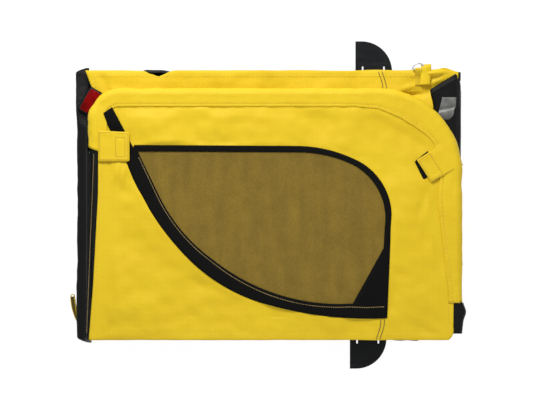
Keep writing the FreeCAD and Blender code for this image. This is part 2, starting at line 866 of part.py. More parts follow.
def front_apron():
    """The low front edge of the floor's cloth tub."""
    start = size("rail_length") / 2 - size("apron_thickness") - size("soft_gap")
    width = size("rail_spacing") - size("bracket_width")
    corner = Vector(start, -width / 2, size("rail_size"))
    apron = Part.makeBox(size("apron_thickness"), width, size("apron_height"), corner)
    return solid("front_apron", apron)


def roof_cloth():
    """The roof's cloth, folded flat on the lower side."""
    length = FRONT_X - REAR_X - 2 * size("roof_end_gap")
    width = size("rail_spacing") - 2 * size("roof_side_gap")
    low = left_top() + size("soft_gap")
    middle = (REAR_X + FRONT_X) / 2
    corner = size("panel_corner")
    x = middle - length / 2
    y = -width / 2
    face = outline(
        (x + corner, y + width),
        (x + length - corner, y + width),
        quarter((x + length - corner, y + width - corner), corner, 0),
        (x + length, y + corner),
        quarter((x + length - corner, y + corner), corner, -90),
        (x + corner, y),
        quarter((x + corner, y + corner), corner, -180),
        (x, y + width - corner),
        quarter((x + corner, y + width - corner), corner, 90),
    )
    return solid("roof_cloth", raised(face, low, size("roof_thickness")))


def front_cloth_corner():
    """The front cloth's outer corner beside the lower hoop's front leg."""
    edge = size("front_cloth_edge")
    return (FRONT_X + SLEEVE_OUT - edge, size("rail_spacing") / 2 + size("panel_hem") - edge)


def front_cloth():
    """The front end's cloth, folded back over the lower side's front leg."""
    x, y = front_cloth_corner()
    wide = size("front_cloth_width")
    slant = 0.6 * wide
    face = outline(
        (x, y),
        (x, y - size("front_cloth_length")),
        (x - wide, y - size("front_cloth_length")),
        (x - wide, y - slant),
        (x, y),
    )
    low = left_top() + size("soft_gap")
    return solid("front_cloth", raised(face, low, size("front_cloth_thickness")))


def corner_fold():
    """A black fold of the front cloth that stands out at the right front corner."""
    x = FRONT_X + SLEEVE_OUT + 2 * size("soft_gap")
    y = -size("rail_spacing") / 2 - size("rail_size") / 2
    length = size("corner_fold_length")
    reach = size("corner_fold_reach")
    hang = size("corner_fold_hang")
    face = outline(
        (x, y),
        ((x + 0.75 * reach, y + 0.3 * length), (x + reach, y + 0.65 * length)),
        ((x + 0.85 * reach, y + 0.85 * length), (x + 0.45 * reach, y + length)),
        (x, y + length),
        (x, y),
    )
    fold = raised(face, size("rail_size") - hang, size("corner_fold_height") + hang)
    cap_x = size("rail_length") / 2 + size("cap_flange")
    corner = Vector(cap_x, y + 0.04 * length, size("rail_size") - hang)
    sewn = Part.makeBox(x + 0.1 * reach - cap_x, 0.3 * length, 0.9 * hang, corner)
    return solid("front_corner_fold", fold.fuse(sewn).removeSplitter())


# Reflectors, lashing ring and pull loop

def red_reflector():
    """A moulded red reflector on the rear edge of the lower side, with bevelled edges."""
    length = size("red_reflector_length")
    width = size("red_reflector_width")
    plate = Part.makeBox(
        width, length, size("red_reflector_thickness"), Vector(-width / 2, -length / 2, 0)
    )
    top = [e for e in plate.Edges if e.CenterOfMass.z > 0.9 * size("red_reflector_thickness")]
    lens = plate.makeChamfer(size("red_reflector_thickness") / 4, top)
    x = REAR_X - size("red_reflector_behind_hoop")
    y = size("rail_spacing") / 2 - size("red_reflector_from_pivot")
    spot = Vector(x, y, left_top() + size("soft_gap"))
    turn = Rotation(Vector(0, 0, 1), size("red_reflector_turn"))
    return solid("red_reflector", lens, Placement(spot, turn))


def grey_patch():
    """A slanted patch of grey reflective tape on the front cloth."""
    x, y = front_cloth_corner()
    length = size("grey_patch_length")
    width = size("grey_patch_width")
    slant = size("grey_patch_slant")
    high_y = y - 0.6 * size("front_cloth_width") - size("grey_patch_drop")
    right = x - width / 4
    face = outline(
        (right, high_y),
        (right, high_y - 0.55 * length),
        ((right - 0.35 * slant, high_y - 0.85 * length), (right - 1.2 * slant, high_y - length)),
        (right - width - slant, high_y - length),
        (right - width, high_y),
        (right, high_y),
    )
    low = left_top() + size("soft_gap") + size("front_cloth_thickness")
    return solid("grey_reflector", raised(face, low, size("grey_patch_thickness")))


def ring_axis():
    """The middle of the lashing ring's straight bar, just outside the lower side's hem."""
    x = FRONT_X - size("ring_behind_hoop_front")
    y = size("rail_spacing") / 2 + size("ring_reach")
    z = left_top() + size("soft_gap") + size("ring_wire") / 2 + size("strap_wall")
    return Vector(x, y, z)


def lashing_ring():
    """A D-shaped wire ring: half a ring and the bar that the strap goes round."""
    wire = size("ring_wire") / 2
    radius = size("ring_inner") / 2 + wire
    half_ring = Part.makeTorus(radius, wire, Vector(), Vector(0, 0, 1), -180, 180, 180)
    bar = Part.makeCylinder(wire, 2 * radius, Vector(-radius, 0, 0), Vector(1, 0, 0))
    ends = [Part.makeSphere(wire, Vector(x, 0, 0)) for x in (-radius, radius)]
    return solid("lashing_ring", half_ring.fuse([bar] + ends), Placement(ring_axis(), Rotation()))


def ring_strap():
    """A short webbing strap, sewn to the lower side, whose loop holds the ring's bar."""
    wire = size("ring_wire") / 2
    wall = size("strap_wall")
    width = size("strap_width")
    hole = wire + size("ring_play")
    left = Vector(-width / 2, 0, 0)
    loop = Part.makeCylinder(wire + wall, width, left, Vector(1, 0, 0))
    foot = -(wire + wall)
    tail = Part.makeBox(width, size("strap_length"), wall, Vector(-width / 2, -size("strap_length"), foot))
    bore = Part.makeCylinder(hole, width, left, Vector(1, 0, 0))
    strap = loop.fuse(tail).cut(bore).removeSplitter()
    return solid("ring_strap", strap, Placement(ring_axis(), Rotation()))


def pull_loop():
    """A flat loop of webbing that stands out of the rear cloth near its right end."""
    back = REAR_X - SLEEVE_OUT - 2 * size("soft_gap") - size("weld_fit") - size("rear_cloth_depth")
    reach = size("pull_loop_reach")
    length = size("pull_loop_length")
    thick = size("pull_loop_thickness")
    low_y = size("pull_loop_from_right") - size("rail_spacing") / 2 - size("rail_size") / 2
    face = outline(
        (back, low_y),
        ((back - 0.75 * reach, low_y + 0.55 * length), (back - reach, low_y + length)),
        ((back - reach + thick / 2, low_y + length + thick / 2), (back - reach + thick, low_y + length)),
        ((back - 0.75 * reach + thick, low_y + 0.5 * length), (back, low_y + 1.6 * thick)),
        (back, low_y),
    )
    middle = (size("rail_size") + size("rear_cloth_top") - size("pull_loop_width")) / 2
    return solid("rear_pull_loop", raised(face, middle, size("pull_loop_width")))


# Wheel deflectors

def deflector_start(side):
    """The rear edge of a deflector. The left one sits a little further forward."""
    rear_x = size("rail_length") / 2 - size("deflector_from_front")
    return rear_x + SIDES[side] * size("deflector_stagger")


def deflector(side):
    """A bent sheet guard in front of a wheel, with two keyholes and a lip along its rear edge."""
    sign = SIDES[side]
    sheet_t = size("deflector_sheet")
    width = size("deflector_width")
    reach = size("deflector_reach")
    radius = size("deflector_radius")
    plate = outline(
        (0, 0),
        (0, reach),
        (width - radius, reach),
        quarter((width - radius, reach - radius), radius, 0),
        (width, 0),
        (0, 0),
    )
    guard = raised(plate, -sheet_t, sheet_t)
    flange = Part.makeBox(width, sheet_t, size("deflector_flange"), Vector(0, 0, -size("deflector_flange")))
    lip = Part.makeBox(sheet_t, reach, size("deflector_lip"), Vector(0, 0, -size("deflector_lip")))
    guard = guard.fuse([flange, lip]).removeSplitter()
    tools = []
    up = Vector(0, 0, 1)
    for number in range(2):
        x = size("keyhole_inset") + number * size("keyhole_pitch")
        y = size("keyhole_from_rail")
        low = Vector(x, y, -sheet_t)
        slot_r = size("keyhole_slot") / 2
        tools.append(Part.makeCylinder(size("keyhole_head") / 2, sheet_t, low, up))
        far = Vector(x, y + size("keyhole_travel"), -sheet_t)
        tools.append(Part.makeCylinder(slot_r, sheet_t, far, up))
        slot = Vector(x - slot_r, y, -sheet_t)
        tools.append(Part.makeBox(2 * slot_r, size("keyhole_travel"), sheet_t, slot))
        screw_r = size("screw_diameter") / 2 + size("screw_play")
        start = Vector(x, 0, -size("screw_drop"))
        tools.append(Part.makeCylinder(screw_r, sheet_t, start, Vector(0, 1, 0)))
    guard = guard.cut(tools)
    if side == "right":
        guard = guard.mirror(Vector(), Vector(0, 1, 0))
    face_y = sign * (size("rail_spacing") + size("rail_size")) / 2
    spot = Vector(deflector_start(side), face_y, size("deflector_height"))
    return solid(f"{side}_deflector", guard, Placement(spot, Rotation()))


def deflector_screws():
    """Four domed screws that hold the deflectors to the rails."""
    screws = []
    for side, sign in SIDES.items():
        for number in range(2):
            x = deflector_start(side) + size("keyhole_inset") + number * size("keyhole_pitch")
            rail_y = sign * (size("rail_spacing") + size("rail_size")) / 2
            seat = Vector(x, rail_y + sign * size("deflector_sheet"), 0)
            seat.z = size("deflector_height") - size("screw_drop")
            out = Vector(0, sign, 0)
            head_r = size("screw_head") / 2
            shank = Part.makeCylinder(size("screw_diameter") / 2, size("screw_length"), seat, out * -1)
            crown = head_r / 2
            head = Part.makeCone(head_r, crown, size("screw_head_height"), seat, out)
            screws.append(head.fuse(shank).removeSplitter())
    return solid("deflector_screws", Part.makeCompound(screws))


def build():
    """Makes every sub-part of the folded trailer."""
    for side in SIDES:
        rail(side)
    inner = "rail_spacing - rail_size"
    right_face = "( rail_size - rail_spacing ) / 2"
    crossbar("rear_crossbar", "crossbar_inset - rail_length / 2", right_face, inner)
    crossbar("axle_crossbar", "-1 * axle_behind_middle", right_face, inner)
    crossbar("front_crossbar", "rail_length / 2 - crossbar_inset", right_face, f"{inner} - rail_size")
    end_caps()
    axle_sleeves()
    drawbar_receiver()
    floor_layer("floor_board", "board_thickness", "rail_size")
    floor_layer("floor_mat", "mat_thickness", "rail_size + board_thickness + soft_gap")
    for side in SIDES:
        pivot_brackets(side)
        pivot_pins(side)
        leg_feet(side)
        hoop(side)
        hoop_sleeve(side)
        rear_leg_sleeve(side)
        side_panel(side)
        window_trim(side)
        window_mesh(side)
        tabs(side)
        side_skirt(side)
        deflector(side)
    deflector_screws()
    rear_cloth()
    front_apron()
    roof_cloth()
    front_cloth()
    corner_fold()
    red_reflector()
    grey_patch()
    lashing_ring()
    ring_strap()
    pull_loop()


def check_and_write():
    """Stops on any failed object, then writes each sub-part to its own file."""
    doc.recompute()
    for obj in doc.Objects:
        if "Invalid" in obj.State or "Error" in obj.State:
            raise RuntimeError(f"{obj.Label} failed: {obj.State}")
    for obj in nodes:
        if obj.Shape.isNull() or not obj.Shape.isValid():
            raise RuntimeError(f"{obj.Label} has no valid shape")
    os.makedirs("parts", exist_ok=True)
    for obj in nodes:
        obj.Shape.exportStep(f"parts/{obj.Label}.step")
        print(obj.Label, len(obj.Shape.Solids), round(obj.Shape.Volume))


build()
check_and_write()
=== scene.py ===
"""A pet bicycle trailer, folded flat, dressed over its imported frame.

Sizes are in millimetres and points are in the frame of the solids: +X to the front of the
trailer, +Y to its left, +Z up. Meshes are written in metres.
"""

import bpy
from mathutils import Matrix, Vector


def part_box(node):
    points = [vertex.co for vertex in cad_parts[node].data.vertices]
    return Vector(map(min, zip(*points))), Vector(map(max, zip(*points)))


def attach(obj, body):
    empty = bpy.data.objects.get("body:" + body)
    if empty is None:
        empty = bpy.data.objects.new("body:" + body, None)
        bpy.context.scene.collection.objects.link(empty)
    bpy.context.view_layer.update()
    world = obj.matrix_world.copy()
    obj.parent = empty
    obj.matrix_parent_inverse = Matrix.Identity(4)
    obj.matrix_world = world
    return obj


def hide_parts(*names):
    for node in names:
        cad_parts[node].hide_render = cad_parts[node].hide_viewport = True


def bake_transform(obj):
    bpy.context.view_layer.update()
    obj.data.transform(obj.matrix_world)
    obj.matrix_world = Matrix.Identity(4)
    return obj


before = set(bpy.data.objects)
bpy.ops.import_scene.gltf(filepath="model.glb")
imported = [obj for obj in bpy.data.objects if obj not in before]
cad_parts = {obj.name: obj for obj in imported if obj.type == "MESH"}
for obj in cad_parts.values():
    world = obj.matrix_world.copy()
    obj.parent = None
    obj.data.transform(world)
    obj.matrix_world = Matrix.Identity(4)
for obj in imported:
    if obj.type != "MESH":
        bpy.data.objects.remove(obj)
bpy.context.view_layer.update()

import functools
import logging
import math
from dataclasses import dataclass
from enum import Enum
from typing import Any, Callable, Iterable, Sequence

import bpy
import numpy as np
from mathutils import Vector, noise

LOG = logging.getLogger("trailer")
MM = 0.001
Flat = tuple[float, float]
Spot = tuple[float, float, float]
Piece = bpy.types.Object
Socket = bpy.types.NodeSocket
Tree = bpy.types.NodeTree


class Side(Enum):
    """Which long side of the trailer a cover belongs to."""

    RIGHT = "right"
    LEFT = "left"


class Lay(Enum):
    """Where a pattern is measured: along the cut cloth, or through the solid piece."""

    CUT = "UV"
    SOLID = "Object"


# Finishes


def linear(colour: str) -> tuple[float, float, float, float]:
    """Turns an sRGB hex colour to linear light.

    Args:
        colour: the colour as "#RRGGBB".

    Returns:
        Red, green, blue and an alpha of 1.
    """
    levels = [int(colour[place:place + 2], 16) / 255 for place in (1, 3, 5)]
    light = [c / 12.92 if c <= 0.04045 else ((c + 0.055) / 1.055) ** 2.4 for c in levels]
    return (light[0], light[1], light[2], 1.0)


def per_metre(period: float) -> float:
    """The scale at which a band texture repeats every period, in millimetres."""
    return 0.314159 / (period * MM)


def grain(spacing: float) -> float:
    """The scale at which a noise texture's blobs are about spacing apart, in millimetres."""
    return 1.0 / (spacing * MM)


def add_node(
    tree: Tree, kind: str, inputs: dict[str | int, Any] | None = None, **settings: Any
) -> bpy.types.Node:
    """Adds a node with its settings and links.

    Args:
        tree: the node tree that gets the node.
        kind: the node's type, without its "ShaderNode" start.
        inputs: for each named or numbered socket a value, another node's output, or another
            node, whose first output is taken.
        settings: the node's properties.

    Returns:
        The new node.
    """
    node = tree.nodes.new("ShaderNode" + kind)
    for name, value in settings.items():
        setattr(node, name, value)
    for key, value in (inputs or {}).items():
        if isinstance(value, bpy.types.Node):
            value = value.outputs[0]
        if isinstance(value, Socket):
            tree.links.new(value, node.inputs[key])
        else:
            node.inputs[key].default_value = value
    return node


@dataclass(frozen=True)
class Finish:
    """A finish whose colour and gloss drift in soft patches, some millimetres apart.

    It goes from its colour to its drift colour by a share, and its roughness moves by rough. Its
    relief says how strongly its pattern catches the light, and deep how high that pattern is.
    """

    name: str
    colour: str
    drift: str
    roughness: float
    lay: Lay = Lay.SOLID
    patch: float = 40.0
    share: float = 0.8
    rough: float = 0.05
    relief: float = 0.5
    deep: float = 0.5

    def paint(self, tree: Tree) -> dict[str, Any]:
        """Adds the finish's nodes.

        Args:
            tree: the material's node tree.

        Returns:
            A value or a node for each input of the surface shader that isn't plain, the pattern's
            Height, and Tones, the levels that the colour is multiplied by.
        """
        raise NotImplementedError

    def where(self, tree: Tree) -> Socket:
        """The place that the finish's patterns are measured from."""
        return add_node(tree, "TexCoord").outputs[self.lay.value]

    def mottle(self, tree: Tree) -> dict[str, Any]:
        """Drifts the colour and the gloss over the surface.

        Args:
            tree: the material's node tree.

        Returns:
            The drifted colour and roughness, as inputs of the surface shader.
        """
        cloud = add_node(
            tree, "TexNoise", {"Vector": self.where(tree), "Scale": grain(self.patch), "Detail": 4.0}
        )
        ends = ((0.0, self.share), (self.roughness - self.rough, self.roughness + self.rough))
        part, gloss = (
            add_node(tree, "MapRange", {0: cloud, 1: 0.3, 2: 0.7, 3: first, 4: last})
            for first, last in ends
        )
        tint = add_node(
            tree, "Mix", {0: part, 6: linear(self.colour), 7: linear(self.drift)}, data_type="RGBA"
        )
        return {"Base Color": tint.outputs[2], "Roughness": gloss}


@functools.cache
def material(finish: Finish) -> bpy.types.Material:
    """Makes a finish's material, once.

    Args:
        finish: the finish to make.

    Returns:
        The material.
    """
    made = bpy.data.materials.new(finish.name)
    made.use_nodes = True
    tree = made.node_tree
    tree.nodes.clear()
    look = finish.paint(tree)
    for tone in look.pop("Tones", ()):
        toned = add_node(
            tree, "Mix",
            {0: 1.0, 6: look["Base Color"], 7: tone},
            data_type="RGBA", blend_type="MULTIPLY",
        )
        look["Base Color"] = toned.outputs[2]
    pattern = {"Strength": finish.relief, "Distance": finish.deep * MM, "Height": look.pop("Height")}
    if "Normal" in look:
        pattern["Normal"] = look["Normal"]
    look["Normal"] = add_node(tree, "Bump", pattern)
    shader = add_node(tree, "BsdfPrincipled", look)
    add_node(tree, "OutputMaterial", {"Surface": shader})
    return made


@dataclass(frozen=True)
class CoatedOxford(Finish):
    """Polyester oxford cloth with a thin polyurethane coat.

    The eye gets a soft even colour, a faint basket weave and small creases that catch light.
    The thread is about 0.5 mm and is drawn 2.4 mm, so that it shows.
    """

    patch: float = 85.0
    share: float = 0.55
    relief: float = 0.3
    deep: float = 0.4
    thread: float = 2.4
    fold: float = 26.0
    crease: float = 0.5
    crease_deep: float = 4.0
    sheen: float = 0.08
    shine: float = 0.35

    def paint(self, tree: Tree) -> dict[str, Any]:
        """Adds the weave, the creases and the drift of colour.

        Args:
            tree: the material's node tree.

        Returns:
            The inputs of the surface shader, the weave's height and its painted shade and highlight.
        """
        place = self.where(tree)
        warp, weft = (
            add_node(
                tree, "TexWave", {"Vector": place, "Scale": per_metre(self.thread)}, bands_direction=way
            )
            for way in ("X", "Y")
        )
        weave = add_node(tree, "Math", {0: warp.outputs[1], 1: weft.outputs[1]}, operation="MULTIPLY")
        # Painted shade and highlight: the colour darkens in the weave's hollows and lightens a little on
        # its crossings.
        hollow = add_node(tree, "MapRange", {0: weave, 1: 0.0, 2: 1.0, 3: 0.9, 4: 1.04})
        creases = add_node(
            tree, "TexNoise",
            {
                "Vector": place, "Scale": grain(self.fold), "Detail": 5.0, "Roughness": 0.55,
                "Distortion": 0.6,
            },
        )
        creased = add_node(
            tree, "Bump",
            {"Strength": self.crease, "Distance": self.crease_deep * MM, "Height": creases},
        )
        return self.mottle(tree) | {
            "Tones": [hollow], "Height": weave, "Normal": creased, "Sheen Weight": self.sheen,
            "Sheen Roughness": 0.4, "Specular IOR Level": self.shine,
        }


@dataclass(frozen=True)
class Ribbon(Finish):
    """Woven tape: grosgrain binding or flat webbing, with ribs across its length.

    The eye gets fine cross ribs and a dull lustre. Ribs of about 0.8 mm are drawn as coarse as
    the finish says.
    """

    share: float = 0.6
    rough: float = 0.06
    rib: float = 2.2
    shine: float = 0.1

    def paint(self, tree: Tree) -> dict[str, Any]:
        """Adds the ribs and the drift of colour.

        Args:
            tree: the material's node tree.

        Returns:
            The inputs of the surface shader, the ribs' height and their tone.
        """
        ribs = add_node(
            tree, "TexWave",
            {
                "Vector": self.where(tree), "Scale": per_metre(self.rib), "Distortion": 0.4,
                "Detail": 1.0,
            },
            bands_direction="X",
        ).outputs[1]
        shade = add_node(tree, "MapRange", {0: ribs, 1: 0.0, 2: 1.0, 3: 0.78, 4: 1.06})
        return self.mottle(tree) | {
            "Tones": [shade], "Height": ribs, "Specular IOR Level": self.shine,
        }


@dataclass(frozen=True)
class LoopPile(Finish):
    """The loop half of a hook and loop tape: a dull black pile of tiny loops, drawn at 1.8 mm."""

    patch: float = 6.0
    share: float = 0.9
    rough: float = 0.04
    relief: float = 0.8
    deep: float = 1.2
    loop: float = 1.8

    def paint(self, tree: Tree) -> dict[str, Any]:
        """Adds the pile's bumps and the drift of colour."""
        pile = add_node(
            tree, "TexVoronoi",
            {"Vector": self.where(tree), "Scale": grain(self.loop), "Randomness": 1.0},
        )
        return self.mottle(tree) | {"Height": pile, "Specular IOR Level": 0.05}


@dataclass(frozen=True)
class OpenMesh(Finish):
    """Knitted polyester window mesh, dark threads with holes that let the inside show through.

    The eye gets a grainy veil over the cloth behind it, streaked lighter and darker by painted
    shade of soft creases in the knit. The cells of about 1 mm are drawn 2.6 mm.
    """

    patch: float = 30.0
    share: float = 0.7
    rough: float = 0.03
    deep: float = 0.8
    cell: float = 2.6
    # pull: scales of the painted crease shade's noise along each axis, so that it runs in streaks along v
    pull: Spot = (42.0, 7.0, 1.0)
    cover: float = 0.86

    def paint(self, tree: Tree) -> dict[str, Any]:
        """Adds the cells and the drift of colour, and lets light through.

        Args:
            tree: the material's node tree.

        Returns:
            The shader's inputs, the cells' height and the tones of cells and painted crease shade.
        """
        place = self.where(tree)
        knit = add_node(
            tree, "TexVoronoi", {"Vector": place, "Scale": grain(self.cell), "Randomness": 0.75}
        )
        shade = add_node(tree, "MapRange", {0: knit, 1: 0.0, 2: 0.7, 3: 1.12, 4: 0.8})
        # Painted shade of soft creases: lighter and darker streaks that run along v.
        drawn_out = add_node(tree, "Mapping", {"Vector": place, "Scale": self.pull})
        crease_shade_noise = add_node(tree, "TexNoise", {"Vector": drawn_out, "Scale": 1.0, "Detail": 4.0})
        painted_crease_shade = add_node(tree, "MapRange", {0: crease_shade_noise, 1: 0.3, 2: 0.7, 3: 0.88, 4: 1.12})
        return self.mottle(tree) | {"Tones": [shade, painted_crease_shade], "Height": knit, "Alpha": self.cover}


@dataclass(frozen=True)
class Thread(Finish):
    """Twisted polyester sewing thread, with a twist of about 1 mm."""

    patch: float = 25.0
    deep: float = 0.3
    twist: float = 1.0

    def paint(self, tree: Tree) -> dict[str, Any]:
        """Adds the twist and the drift of colour."""
        turns = add_node(
            tree, "TexWave",
            {"Vector": self.where(tree), "Scale": per_metre(self.twist)},
            bands_direction="DIAGONAL",
        )
        return self.mottle(tree) | {"Height": turns.outputs[1], "Sheen Weight": 0.15}


@dataclass(frozen=True)
class GrainyShell(Finish):
    """A surface with a cast grain: powder coat, moulded nylon or sprayed film.

    The eye gets fine orange peel of the given spacing, and pale scuffs drawn out along X.
    """

    patch: float = 45.0
    share: float = 0.6
    rough: float = 0.08
    relief: float = 0.25
    deep: float = 0.6
    spacing: float = 1.6
    scuff: str = "#55565A"
    scrape: Spot = (12.0, 90.0, 90.0)
    wear: float = 0.3
    shine: float = 0.2

    def paint(self, tree: Tree) -> dict[str, Any]:
        """Adds the grain, the scuffs and the drift of colour.

        Args:
            tree: the material's node tree.

        Returns:
            The inputs of the surface shader and the grain's height.
        """
        place = self.where(tree)
        look = self.mottle(tree)
        stretched = add_node(tree, "Mapping", {"Vector": place, "Scale": self.scrape})
        scraped = add_node(tree, "TexNoise", {"Vector": stretched, "Scale": 1.0, "Detail": 6.0})
        part = add_node(tree, "MapRange", {0: scraped, 1: 0.56, 2: 0.72, 3: 0.0, 4: self.wear})
        worn = add_node(
            tree, "Mix", {0: part, 6: look["Base Color"], 7: linear(self.scuff)}, data_type="RGBA"
        )
        peel = add_node(
            tree, "TexNoise", {"Vector": place, "Scale": grain(self.spacing), "Detail": 2.0}
        )
        return look | {
            "Base Color": worn.outputs[2], "Height": peel, "Specular IOR Level": self.shine,
        }


@dataclass(frozen=True)
class DrawnMetal(Finish):
    """Bare or plated metal, with fine lines drawn along X: zinc plate or anodised tube.

    The eye gets a bright grey with soft streaks and a satin gloss. The lines are drawn 1.2 mm
    apart.
    """

    patch: float = 18.0
    rough: float = 0.07
    relief: float = 0.15
    deep: float = 0.3
    lines: float = 1.2
    draw: Spot = (0.06, 1.0, 1.0)

    def paint(self, tree: Tree) -> dict[str, Any]:
        """Adds the drawn lines and the drift of colour.

        Args:
            tree: the material's node tree.

        Returns:
            The inputs of the surface shader and the lines' height.
        """
        along = add_node(tree, "Mapping", {"Vector": self.where(tree), "Scale": self.draw})
        streaks = add_node(
            tree, "TexNoise", {"Vector": along, "Scale": grain(self.lines), "Detail": 2.0}
        )
        return self.mottle(tree) | {"Height": streaks, "Metallic": 1.0}


@dataclass(frozen=True)
class FilmFacedPly(Finish):
    """Birch plywood with a dark phenol film, pressed against a wire mesh of 5 mm."""

    patch: float = 60.0
    rough: float = 0.08
    relief: float = 0.35
    pitch: float = 5.0

    def paint(self, tree: Tree) -> dict[str, Any]:
        """Adds the wire print and the drift of colour.

        Args:
            tree: the material's node tree.

        Returns:
            The inputs of the surface shader and the wires' height.
        """
        place = self.where(tree)
        one, two = (
            add_node(
                tree, "TexWave", {"Vector": place, "Scale": per_metre(self.pitch)}, bands_direction=way
            )
            for way in ("X", "Y")
        )
        wires = add_node(tree, "Math", {0: one.outputs[1], 1: two.outputs[1]}, operation="MAXIMUM")
        return self.mottle(tree) | {"Height": wires}


@dataclass(frozen=True)
class PrismLens(Finish):
    """A moulded acrylic reflector: clear red gloss over rows of small corner prisms, 3.2 mm wide."""

    patch: float = 22.0
    share: float = 1.0
    rough: float = 0.03
    relief: float = 0.3
    deep: float = 1.2
    pitch: float = 3.2
    # glow: strength of a painted glow, an even emission in place of the light the prisms throw back
    glow: float = 0.1

    def paint(self, tree: Tree) -> dict[str, Any]:
        """Adds the prisms, and a painted glow: the lens gives off a little of its own colour all over."""
        prisms = add_node(
            tree, "TexVoronoi",
            {"Vector": self.where(tree), "Scale": grain(self.pitch), "Randomness": 0.0},
            distance="MANHATTAN",
        )
        # Painted glow: the emission stands in for the light that the prisms throw back.
        return self.mottle(tree) | {
            "Height": prisms, "Emission Color": linear(self.colour),
            "Emission Strength": self.glow, "Specular IOR Level": 0.05,
        }


@dataclass(frozen=True)
class BeadTape(Finish):
    """Grey reflective tape: glass beads on a cloth back, dull silver with a fine grit of 1.5 mm.

    Its colour carries painted light: a painted highlight in a bar along the seam, a painted shade
    in a strip just above it, and a painted shade that deepens towards the lower end. The seam is
    a slope and the height of its line at x 0. Each painted band says from where to where below
    the seam the tape's level goes from one to another.
    """

    patch: float = 14.0
    share: float = 0.9
    relief: float = 0.4
    deep: float = 0.4
    grit: float = 1.5
    seam: Flat = (0.2, 116.0)
    # Painted highlight and shade: for each band, from and to below the seam, and its first and last level.
    painted_light_bands: tuple[tuple[float, float, float, float], ...] = (
        (-10.0, -6.0, 1.0, 0.72), (-2.5, 0.0, 1.0, 1.8), (0.0, 20.0, 1.0, 0.36),
    )

    def paint(self, tree: Tree) -> dict[str, Any]:
        """Adds the grit, the painted highlight and shade along the seam, and the drift of colour.

        Args:
            tree: the material's node tree.

        Returns:
            The inputs of the surface shader, the grit's height and the tones of painted light.
        """
        place = self.where(tree)
        apart = add_node(tree, "SeparateXYZ", {0: place})
        slope, start = self.seam
        line = add_node(tree, "Math", {0: apart, 1: slope, 2: start * MM}, operation="MULTIPLY_ADD")
        below = add_node(tree, "Math", {0: line, 1: apart.outputs[1]}, operation="SUBTRACT")
        # Painted highlight and painted shade: levels that multiply the colour by the distance below the
        # seam.
        tones = [
            add_node(tree, "MapRange", {0: below, 1: low * MM, 2: high * MM, 3: first, 4: last})
            for low, high, first, last in self.painted_light_bands
        ]
        beads = add_node(tree, "TexNoise", {"Vector": place, "Scale": grain(self.grit), "Detail": 1.0})
        return self.mottle(tree) | {"Tones": tones, "Height": beads, "Metallic": 0.3}


YELLOW = CoatedOxford(
    "yellow_coated_oxford", "#F1CF26", "#E6BF1E", 0.55, Lay.CUT, crease=0.22, sheen=0.02, shine=0.2
)
BLACK = CoatedOxford(
    "black_coated_oxford", "#0C0E0C", "#141614", 0.5, Lay.CUT, crease=0.7, sheen=0.0, shine=0.1
)
# Painted shade: the dark olive of a sheet across the pull loop's opening, standing in for its shaded
# inside.
LOOP_SHADE_OLIVE = CoatedOxford("olive_loop_shade_oxford", "#5E5224", "#4A4020", 0.6, Lay.CUT, shine=0.15)
BINDING = Ribbon("black_grosgrain_binding", "#0B0C0B", "#131412", 0.65, Lay.CUT, shine=0.05)
WEBBING = Ribbon("yellow_flat_webbing", "#EAC826", "#D8B21E", 0.6, Lay.CUT, rib=2.6, relief=0.7, shine=0.3)
LABEL = Ribbon("white_satin_label", "#E4DCD2", "#D2C8BC", 0.5, Lay.CUT, rib=1.2, relief=0.2, shine=0.3)
PILE = LoopPile("black_loop_pile", "#0F100F", "#1C1D1B", 0.85)
WINDOW = OpenMesh("brown_window_mesh", "#8C721C", "#7E6514", 0.8, Lay.CUT)
TAN_THREAD = Thread("tan_sewing_thread", "#A58A4E", "#86703C", 0.6)
YELLOW_THREAD = Thread("ochre_sewing_thread", "#E3BD36", "#D6AF2C", 0.6)
# Partly painted shade: the tabs' thread is darker than the cloth to stand in for the shade in its stitch
# grooves.
OCHRE_THREAD_AND_GROOVE_SHADE = Thread("ochre_thread_and_painted_groove_shade", "#B9931F", "#A5821A", 0.6)
PALE_THREAD = Thread("grey_sewing_thread", "#A9A9A6", "#8E8E8B", 0.6)
DARK_THREAD = Thread("brown_sewing_thread", "#5E4C1A", "#483A14", 0.6)
BLACK_THREAD = Thread("black_sewing_thread", "#262726", "#1C1D1C", 0.6)
POWDER = GrainyShell("black_powder_coated_steel", "#141516", "#1D1E1F", 0.45)
PLATE = GrainyShell(
    "black_textured_deflector", "#171819", "#212324", 0.42, spacing=2.0, relief=0.3,
    scuff="#3C3E41", wear=0.25, shine=0.1,
)
NYLON = GrainyShell("black_moulded_nylon", "#131415", "#1B1C1D", 0.5, spacing=1.2, relief=0.2, wear=0.1)
ZINC = DrawnMetal("bright_zinc_steel", "#C9CBCC", "#A9ABAD", 0.3)
ANODISED = DrawnMetal("clear_anodised_tube", "#D0D2D4", "#BBBDC0", 0.34, lines=1.6)
PLY = FilmFacedPly("film_faced_plywood", "#4A3B2C", "#382B20", 0.45)
LENS = PrismLens("red_acrylic_reflector", "#900505", "#480303", 0.3)
TAPE = BeadTape("grey_glass_bead_tape", "#747472", "#555553", 0.45, Lay.CUT)


# Drawing and cloth tools


